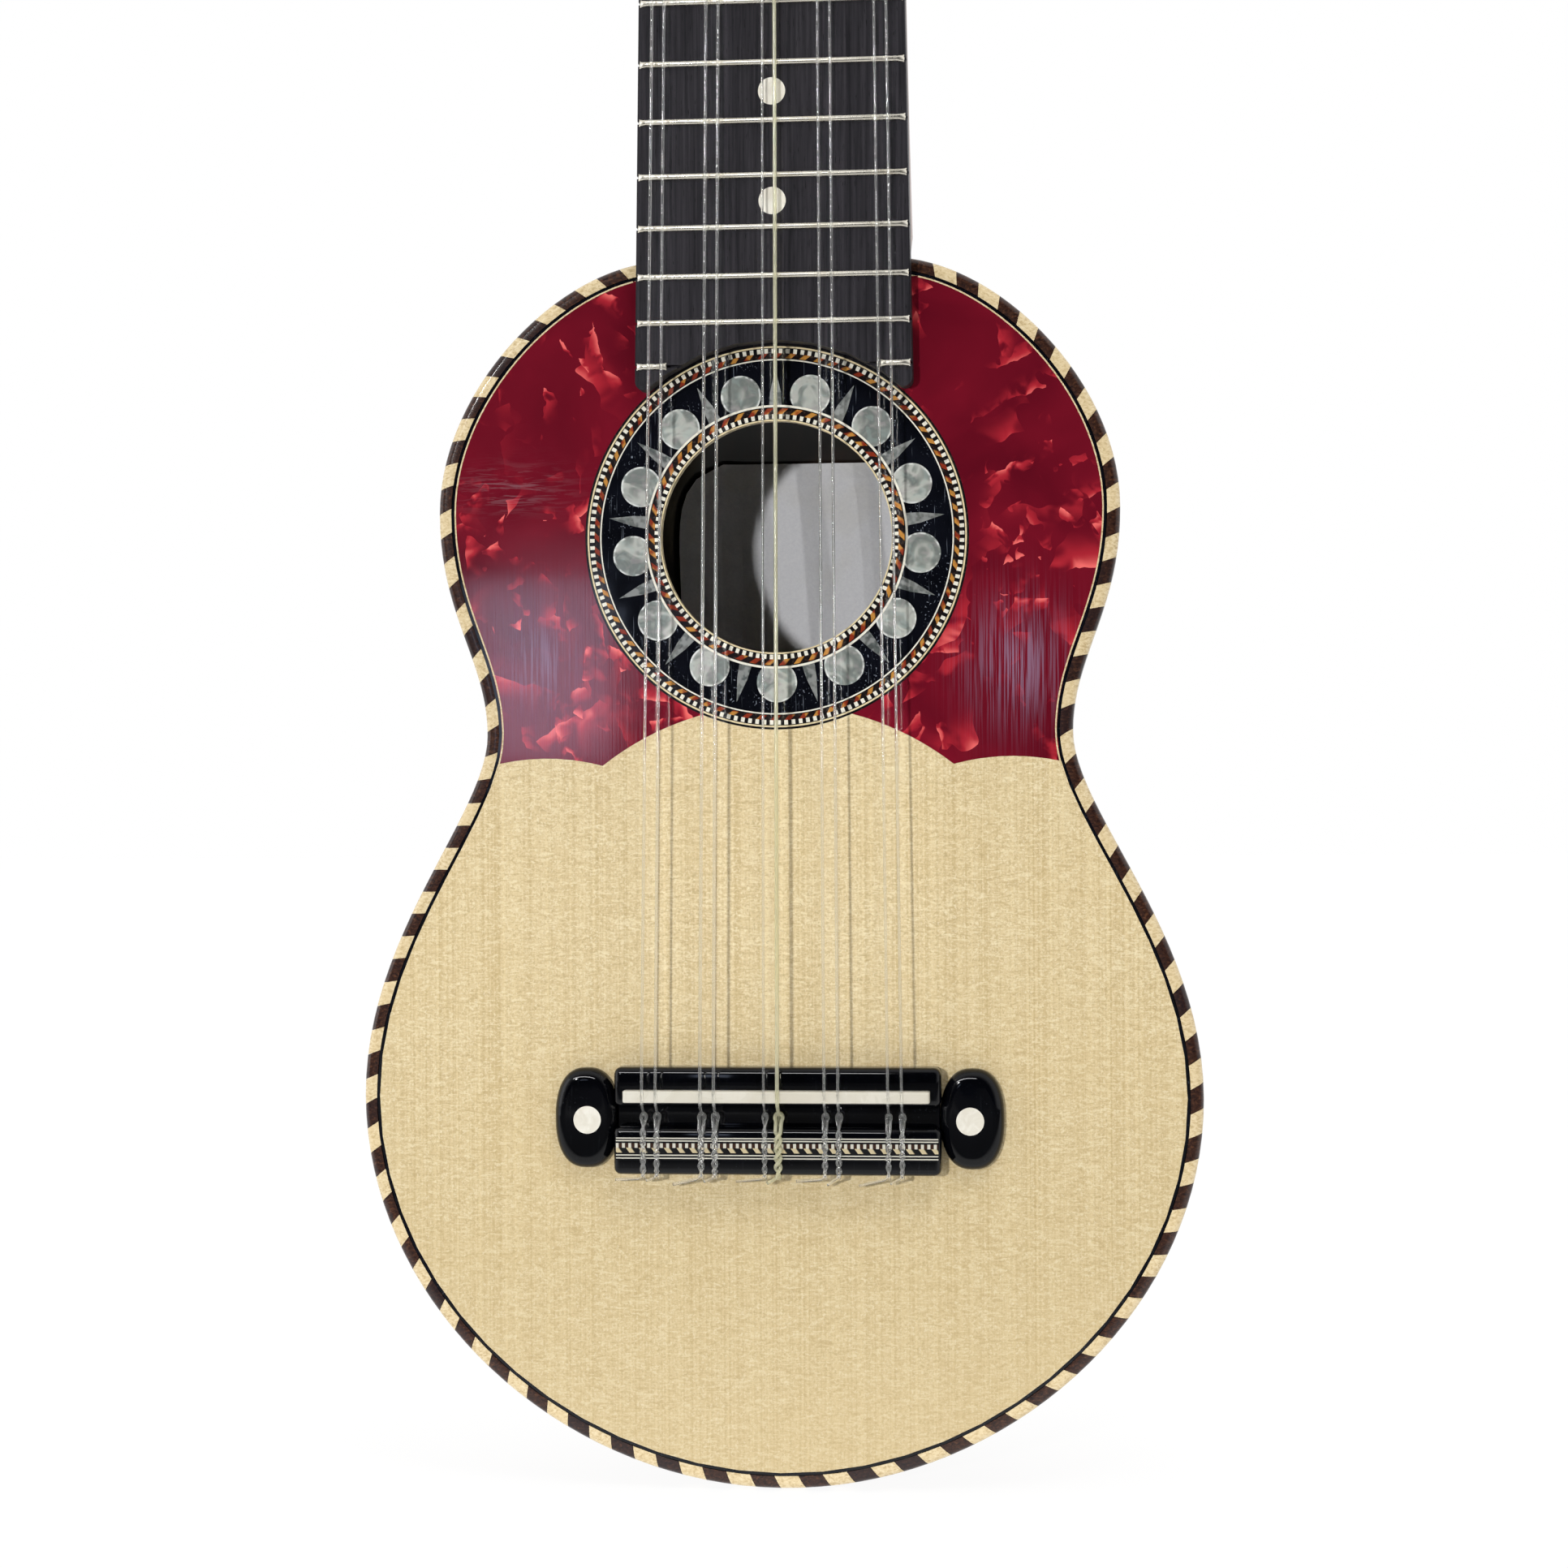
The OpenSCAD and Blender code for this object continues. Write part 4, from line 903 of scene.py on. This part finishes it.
def ear(side):
    """A bean shaped lobe with a flat crown and rolled edges."""
    section = [(0, -1), (0, 0.9)]
    for angle in range(12, 91, 13):
        a = math.radians(angle)
        section.append((2.6 * (1 - math.cos(a)), 0.9 + (EAR_H - 0.93) * math.sin(a)))
    rings = []
    for inset, height in section:
        ring = []
        for k in range(48):
            g = 2 * math.pi * k / 48
            cx, cz = math.cos(g), math.sin(g)
            x = EAR_X + (EAR_HALF_X - inset) * math.copysign(abs(cx) ** 0.80, cx)
            z = EAR_Z + (EAR_HALF_Z - inset) * math.copysign(abs(cz) ** 0.86, cz)
            ring.append(at(side * x, -height, z))
        rings.append(ring)
    return loft(rings)


def bridge():
    """Saddle block, tie block, the sunk channel between them, and an ear at each end."""
    piece("bridge_body", joined([
        rounded_box((-BLOCK_HALF, -6, CHANNEL_HIGH), (BLOCK_HALF, 1.5, BRIDGE_HIGH), 1.5),
        rounded_box((-BLOCK_HALF, -TIE_H + 0.04, TIE_LOW), (BLOCK_HALF, 1.5, TIE_HIGH), 1.4),
        rounded_box((-BLOCK_HALF + 0.4, -2, TIE_HIGH - 2),
                    (BLOCK_HALF - 0.4, 1.5, CHANNEL_HIGH + 2), 0.3),
        ear(-1), ear(1)]), "bridge_black", stands_for=["bridge"])


# ---- strings ----
SADDLE_COURSES = [-26.9, -14.5, -1, 11.8, 25.2]
SADDLE_PAIR, NUT_PAIR, NUT_PITCH = 2.9, 2.4, 11
STRING_R = [0.3, 0.3, 0.34, 0.34, 0.26, 0.42, 0.3, 0.3, 0.28, 0.28]
WINDING_X = [18, 16.2, 13.4, 11, 8.6]
ROLLER_Z0, ROLLER_PITCH, ROLLER_R, ROLLER_Y = 31, 23, 4, 8
TAIL_LONG, TAIL_SHORT = 6.4, 2.6
LOOP_Z, LOOP_H = 78.9, 5.5
WOUND_STRING = 5


def hand(i):
    return -1 if i < 5 else 1


def roller_row(i):
    return i if i < 5 else 9 - i


def roller_z(i):
    return ROLLER_Z0 + roller_row(i) * ROLLER_PITCH


def coil_x(i):
    return hand(i) * WINDING_X[roller_row(i)]


def string_look(i):
    return "wound_nylon" if i == WOUND_STRING else "nylon"


def roller_end(i):
    """Where the string from the nut touches its winding."""
    start = Vector((-NUT_H * math.cos(HEAD_TILT), NUT_H * math.sin(HEAD_TILT)))
    d = Vector((ROLLER_Y, roller_z(i))) - start
    r = ROLLER_R + 3 * STRING_R[i] + 0.06
    a = math.atan2(d.y, d.x) + math.asin(r / d.length)
    reach = math.sqrt(d.length ** 2 - r * r)
    return on_head(coil_x(i), start.x + reach * math.cos(a), start.y + reach * math.sin(a))


def twist(x, r, phase, up):
    """One of two strands that wind round each other over the tie block, from high to low."""
    lean = r + 0.05
    count = 26
    pts = []
    for k in range(count + 1):
        t = k / count
        z = TIE_HIGH - 0.7 - t * (TIE_HIGH - TIE_LOW - 1.6)
        g = phase + 2 * math.pi * 2.25 * t
        lift = TIE_H + r + lean * (1 + math.sin(g))
        pts.append(at(x + lean * 1.15 * math.cos(g), -lift, z))
    return pts[::-1] if up else pts


def string(i):
    """From the roller over nut and saddle to the knot and cut end at the bridge."""
    r = STRING_R[i]
    x = SADDLE_COURSES[i // 2] + (-1 if i % 2 == 0 else 1) * SADDLE_PAIR / 2
    nut_x = (i // 2 - 2) * NUT_PITCH + (-1 if i % 2 == 0 else 1) * NUT_PAIR / 2
    start = random.uniform(0, 2 * math.pi)
    route = [roller_end(i), at(nut_x, -NUT_H, HEAD_Z), at(nut_x, -NUT_H, NUT_Z),
             at(x, -SADDLE_H - r, SADDLE_Z + 0.3), at(x, -SADDLE_H - r + 0.15, SADDLE_Z - 1.4),
             at(x, -5.2, 80.1), at(x, -3.1, TIE_HIGH + 0.4), at(x, -2.9, TIE_HIGH - 1),
             at(x, -2.9, TIE_LOW + 0.6), at(x, -3.0, TIE_LOW - 0.8), at(x, -4.4, TIE_LOW - 0.9),
             at(x + 0.2, -6.2, TIE_LOW - 0.6)]
    route += twist(x, r, start, True)
    for k in range(1, 9):
        g = math.pi * 2 * k / 9
        route.append(at(x + r * 2.1 * math.sin(g), -LOOP_H - 1.1 * r * math.cos(g),
                        LOOP_Z + 0.9 * (1 - math.cos(g))))
    route += twist(x, r, start + math.pi, False)
    tail = TAIL_LONG if i % 2 == 0 else TAIL_SHORT
    dip = random.uniform(0.5, 1.5)
    route += [at(x - 0.3, -6.6, TIE_LOW - 0.35), at(x - 1.0, -5.4, TIE_LOW - 0.9),
              at(x - tail, -3.2 - random.uniform(0, 1), TIE_LOW - 0.9 - dip)]
    piece(f"string_line_{i + 1}", tube(rounded_path(route, 0.8, 3), r), string_look(i),
          stands_for=[f"string_{i + 1}"], angle=60)


# ---- tuners ----
PLATE_X = 33
SHEET_T = 1.2
GEAR_MODULE = 0.8
GEAR_R = GEAR_TEETH * GEAR_MODULE / 2
WORM_LEAD = math.pi * GEAR_MODULE
WORM_R = 2.6
WORM_CORE = 1.8
WORM_TIP = WORM_R + 0.65
WORM_GAP = GEAR_R + WORM_R
WORM_PHASE = math.radians(18)
GEAR_X = PLATE_X + SHEET_T + WORM_TIP + 0.35
BUTTON_FROM, BUTTON_LEN = 20, 17
BUTTON_HALF_W, BUTTON_HALF_T = 7.9, 3.4
WINDS, WIND_STEPS = 3, 24
HEAD_DOWN = (on_head(0, 1, 0) - on_head(0, 0, 0)).normalized()
HEAD_UP = (on_head(0, 0, 1) - on_head(0, 0, 0)).normalized()
SIDEWAYS = Vector((1, 0, 0))


def worm(x, z):
    """The helical thread, one closed ridge round the shaft."""
    turns, steps = 3.4, 34
    n = round(turns * steps)
    rings = []
    for k in range(n + 1):
        g = math.radians(360 * k / steps) + WORM_PHASE
        y = HEAD_T / 2 + (k / n - 0.5) * turns * WORM_LEAD
        fade = min(1, k / 8, (n - k) / 8)
        tip = WORM_CORE + (WORM_TIP - WORM_CORE) * fade
        rings.append([on_head(x + q * math.cos(g), y + w, z + q * math.sin(g) * -1)
                      for q, w in ((WORM_CORE - 0.3, -0.62), (tip, -0.24), (tip, 0.24),
                                   (WORM_CORE - 0.3, 0.62))])
    return loft(rings)


def tuner_key(i):
    """A shaft with its worm, and its button."""
    key = f"tuner_key_{i + 1}"
    x, z = hand(i) * GEAR_X, roller_z(i) + WORM_GAP
    profile = [(-0.9, 0.4), (-0.8, 1.7), (-0.5, 2.1), (1.1, 2.1), (1.3, 1.25), (3.0, 1.25),
               (3.0, WORM_CORE), (13.0, WORM_CORE), (13.0, 1.25), (14.7, 1.25), (14.8, 2.2),
               (15.2, 2.35), (16.6, 2.35), (17.1, 1.7), (17.6, 1.6), (18.2, 2.2), (19.4, 2.6),
               (20.4, 2.4), (21.5, 1.0)]
    shaft = lathe(profile, on_head(x, 0, z), HEAD_DOWN, SIDEWAYS)
    piece(f"tuner_shaft_{i + 1}", joined([shaft, worm(x, z)]), "tuner_brass", key, [key])
    rings = []
    for k in range(17):
        v = math.radians(-90 + 180 * k / 16)
        thick = BUTTON_HALF_T * math.copysign(abs(math.sin(v)) ** 0.55, math.sin(v))
        shrink = max(abs(math.cos(v)) ** 0.5, 0.03)
        ring = []
        for j in range(40):
            g = 2 * math.pi * j / 40
            cy, cz = math.cos(g), math.sin(g)
            y = BUTTON_LEN / 2 * shrink * math.copysign(abs(cy) ** 0.82, cy)
            w = BUTTON_HALF_W * shrink * math.copysign(abs(cz) ** 0.78, cz) * (1 + 0.10 * cy)
            ring.append(on_head(x + thick, BUTTON_FROM + BUTTON_LEN / 2 + y, z + w * 0.93))
        rings.append(ring)
    piece(f"tuner_button_{i + 1}", loft(rings), "button", key, angle=60)


def gear(x, z):
    """A straight-toothed gear; each tooth has six points."""
    tooth = 2 * math.pi / GEAR_TEETH
    root, tip = GEAR_R - 0.9, GEAR_R + 0.55
    half = 1.3
    outline = [(q, (k + w) * tooth) for k in range(GEAR_TEETH) for q, w in (
        (root, -0.36), (GEAR_R, -0.24), (tip, -0.12), (tip, 0.12), (GEAR_R, 0.24), (root, 0.36))]
    rings = []
    for dx, shrink in ((-half, 0.25), (-half, 0), (half, 0), (half, 0.25)):
        rings.append([on_head(x + dx * (1 - shrink * 0.15), ROLLER_Y - (q - shrink) * math.sin(g),
                              z + (q - shrink) * math.cos(g)) for q, g in outline])
    return loft(rings)


def roller(i):
    """A string roller, its gear, and the string wound on it."""
    s, z = hand(i), roller_z(i)
    body, k = f"roller_{i + 1}", i + 1
    axis = SIDEWAYS * s
    base = on_head(0, ROLLER_Y, z)
    barrel = [(1.1, 1.6), (1.3, 2.0), (4.6, 2.0), (4.7, 3.7), (5.0, 4.0), (6.2, 4.0), (6.5, 3.6),
              (19.0, 3.6), (19.4, 4.0), (32.4, 4.0), (32.7, 3.7), (32.7, 1.9)]
    collar = [(32.5, 2), (34.4, 2), (34.4, 3), (36.3, 3), (36.4, 4.2), (36.5, 4.2)]
    hub = [(39.0, 3.4), (39.3, 3.3), (39.4, 2.4), (40.0, 2.3), (40.4, 1.9), (40.4, 0.8),
           (40.0, 0.7)]
    piece(f"roller_barrel_{k}", lathe(barrel, base, axis, HEAD_UP), "sleeve", body, [body])
    piece(f"roller_gear_{k}", joined([gear(s * GEAR_X, z), lathe(collar, base, axis, HEAD_UP),
                                      lathe(hub, base, axis, HEAD_UP)]), "tuner_brass", body)
    r = STRING_R[i]
    wind = ROLLER_R + r * 0.9
    around = []
    for j in range(WINDS * WIND_STEPS + 1):
        g = 2 * math.pi * j / WIND_STEPS
        around.append(on_head(coil_x(i) + (j / WIND_STEPS - WINDS / 2) * 2.05 * r,
                              ROLLER_Y + wind * math.sin(g), z + wind * math.cos(g)))
    piece(f"roller_winding_{k}", tube(around, r, 8), string_look(i), body, angle=60)


def plate_screws():
    """Domed screws that hold the tuner plates."""
    screws = []
    dome = [(PLATE_X - 7, 0.2), (PLATE_X - 5, 1.1), (PLATE_X + 1.2, 1.1), (PLATE_X + 1.25, 2.0),
            (PLATE_X + 1.6, 1.95), (PLATE_X + 2.0, 1.5), (PLATE_X + 2.15, 0.8),
            (PLATE_X + 2.2, 0.1)]
    for s in (-1, 1):
        for k in range(6):
            z = ROLLER_Z0 - 10 if k == 0 else ROLLER_Z0 + (k - 1) * ROLLER_PITCH + 14.3
            screws.append(lathe(dome, on_head(0, ROLLER_Y, z), SIDEWAYS * s, HEAD_UP, 20))
    piece("plate_screw_heads", joined(screws), "tuner_brass", stands_for=["plate_screws"])


# ---- CAD nodes that show as they are ----
LOOKS = {
    "spruce": ["soundboard"], "red_pearloid": ["pearloid_plate"], "black_line": ["purfling_line"],
    "black_lacquer": ["rosette_field"], "outer_ring": ["rosette_outer_ring"],
    "inner_ring": ["rosette_inner_ring"], "pearl": ["rosette_discs", "rosette_spikes"],
    "ebony": ["fretboard", "head_veneer"], "white_dot": ["fret_dots", "bridge_dots"],
    "bridge_mosaic": ["bridge_inlay"], "bone": ["saddle", "nut"], "neck_wood": ["headstock"],
    "brace_wood": ["cross_braces", "fan_braces", "bridge_patch"], "label_paper": ["blank_label"],
    "tuner_brass": ["tuner_plate_left", "tuner_plate_right"]}
ROUNDED = [("fretboard", 0.25, 60), ("saddle", 0.5, 35), ("nut", 0.2, 60), ("headstock", 0.7, 50),
           ("tuner_plate_left", 0.2, 50), ("tuner_plate_right", 0.2, 50)]


def dress_cad():
    """Materials for the CAD nodes, and modifiers that round some of their edges."""
    for look, nodes in LOOKS.items():
        for node in nodes:
            NODES[node].data.materials.clear()
            NODES[node].data.materials.append(MAT[look])
    for node, width, angle in ROUNDED:
        weld = NODES[node].modifiers.new("weld", "WELD")
        weld.merge_threshold = 0.002 * MM
        bevel = NODES[node].modifiers.new("bevel", "BEVEL")
        bevel.width = width * MM
        bevel.segments = 2
        bevel.limit_method = "ANGLE"
        bevel.angle_limit = math.radians(angle)


# ---- stage, light and camera ----
FLOOR_HALF = 6
FLOOR_DROP = 0.0004
FRONT_DARK, FRONT_PALE = -360.0, -140.0
WORLD_RAMP = {"From Min": -0.86, "From Max": -0.36, "To Min": 0.01, "To Max": 1.0}


def floor():
    """A plain pale floor that gives less light in front, so glossy faces stay deep."""
    h = FLOOR_HALF
    mesh = bpy.data.meshes.new("floor")
    mesh.from_pydata([(-h, -h, 0), (h, -h, 0), (h, h, 0), (-h, h, 0)], [], [[0, 1, 2, 3]])
    obj = bpy.data.objects.new("floor", mesh)
    obj.location.z = cad_box[0].z - FLOOR_DROP
    bpy.context.scene.collection.objects.link(obj)
    s = Surface("floor")
    near = s.fade(s.y, FRONT_DARK, FRONT_PALE)
    seen = s.node("LightPath").outputs["Is Camera Ray"]
    glow = s.mul(s.math("MAXIMUM", s.add(0.03, s.mul(near, 0.97)), seen), 0.93)
    colour = s.mix(s.noise(300, 2), (0.85, 0.85, 0.84), (0.88, 0.88, 0.87))
    s.put(s.shader.inputs["Emission Color"], (1, 1, 1))
    s.put(s.shader.inputs["Emission Strength"], glow)
    mesh.materials.append(s.done(s.mix(0.9, colour, (0, 0, 0)), 0.9, Specular_IOR_Level=0.0))


def lamp(name, where, target, size, power, colour=(1, 1, 1), height=None, shown_in=None):
    """An area lamp. A lamp shown_in "matte" or "gloss" only adds to that kind of reflection."""
    data = bpy.data.lights.new(name, "AREA")
    data.energy = power
    data.color = colour
    data.shape = "RECTANGLE"
    data.size = size
    data.size_y = height or size
    obj = bpy.data.objects.new(name, data)
    obj.location = where
    obj.rotation_mode = "QUATERNION"
    obj.rotation_quaternion = (Vector(target) - Vector(where)).to_track_quat("-Z", "Y")
    obj.visible_glossy = shown_in != "matte"
    obj.visible_diffuse = shown_in != "gloss"
    bpy.context.scene.collection.objects.link(obj)
    return obj


def world():
    """Pale all round; the quarter in front gives less light, so glossy faces stay deep."""
    made = bpy.data.worlds.new("studio")
    made.use_nodes = True
    new, link = made.node_tree.nodes.new, made.node_tree.links.new
    back = made.node_tree.nodes["Background"].inputs
    split, ramp = new("ShaderNodeSeparateXYZ"), new("ShaderNodeMapRange")
    ramp.interpolation_type = "SMOOTHSTEP"
    link(new("ShaderNodeTexCoord").outputs["Generated"], split.inputs[0])
    link(split.outputs[1], ramp.inputs["Value"])
    for name, value in WORLD_RAMP.items():
        ramp.inputs[name].default_value = value
    strength = new("ShaderNodeMath")
    strength.operation = "MAXIMUM"
    link(ramp.outputs[0], strength.inputs[0])
    link(new("ShaderNodeLightPath").outputs["Is Camera Ray"], strength.inputs[1])
    link(strength.outputs[0], back["Strength"])
    back["Color"].default_value = (1, 1, 1, 1)
    bpy.context.scene.world = made


def lights():
    """Lamps for all pieces, and three for the pieces whose names start as given."""
    middle = (0, FACE_Y * MM, 0.15)
    lamp("key", (-0.290, -1.20, 0.225), middle, 0.05, 7.6, shown_in="matte")
    lamp("glint", (-0.56, -1.20, 0.56), middle, 0.08, 4.0, shown_in="gloss")
    lamp("left_window", (-0.236, -1.10, 0.213), middle, 0.08, 0.08, (0.66, 0.76, 1.0), 0.10,
         "gloss")
    lamp("left_side", (-0.85, -0.25, 0.30), middle, 0.40, 0.8, (0.95, 0.97, 1.0), 0.6)
    lamp("top_fill", (0.22, -0.50, 0.80), (0, 0, 0.22), 0.3, 1.6, shown_in="matte")
    for name, first, where, width, height, power in (
            ("string_strip", "string_line", (-0.40, -1.15, 0.40), 0.10, 0.5, 13.0),
            ("fret_panel", "fret_wires", (-0.10, -1.15, 0.60), 0.6, 0.6, 3.2),
            ("bridge_panel", "bridge_body", (-0.35, -1.10, 0.75), 1.0, 0.10, 9.0)):
        light = lamp(name, where, middle, width, power, height=height, shown_in="gloss")
        lit = bpy.data.collections.new(f"{name}_lights")
        for obj in bpy.context.scene.objects:
            if obj.name.startswith(first):
                lit.objects.link(obj)
        light.light_linking.receiver_collection = lit


def camera():
    """Level with the body, a little to the right."""
    yaw, distance, roll = math.radians(5.5), 0.696, math.radians(0.3)
    aim = Vector((0.0014, FACE_Y * MM, 0.1503))
    data = bpy.data.cameras.new("camera")
    data.lens = 75
    data.sensor_width = 36
    obj = bpy.data.objects.new("camera", data)
    obj.location = aim + distance * Vector((math.sin(yaw), -math.cos(yaw), 0))
    obj.rotation_mode = "QUATERNION"
    turn = (aim - obj.location).to_track_quat("-Z", "Y")
    obj.rotation_quaternion = turn @ Quaternion((0, 0, 1), -roll)
    bpy.context.scene.collection.objects.link(obj)
    bpy.context.scene.camera = obj


camera()
dress_cad()
bowl()
binding()
border_line()
neck()
frets()
bridge()
plate_screws()
for number in range(10):
    string(number)
    tuner_key(number)
    roller(number)
world()
lights()
floor()
bpy.context.scene.view_settings.view_transform = "Standard"
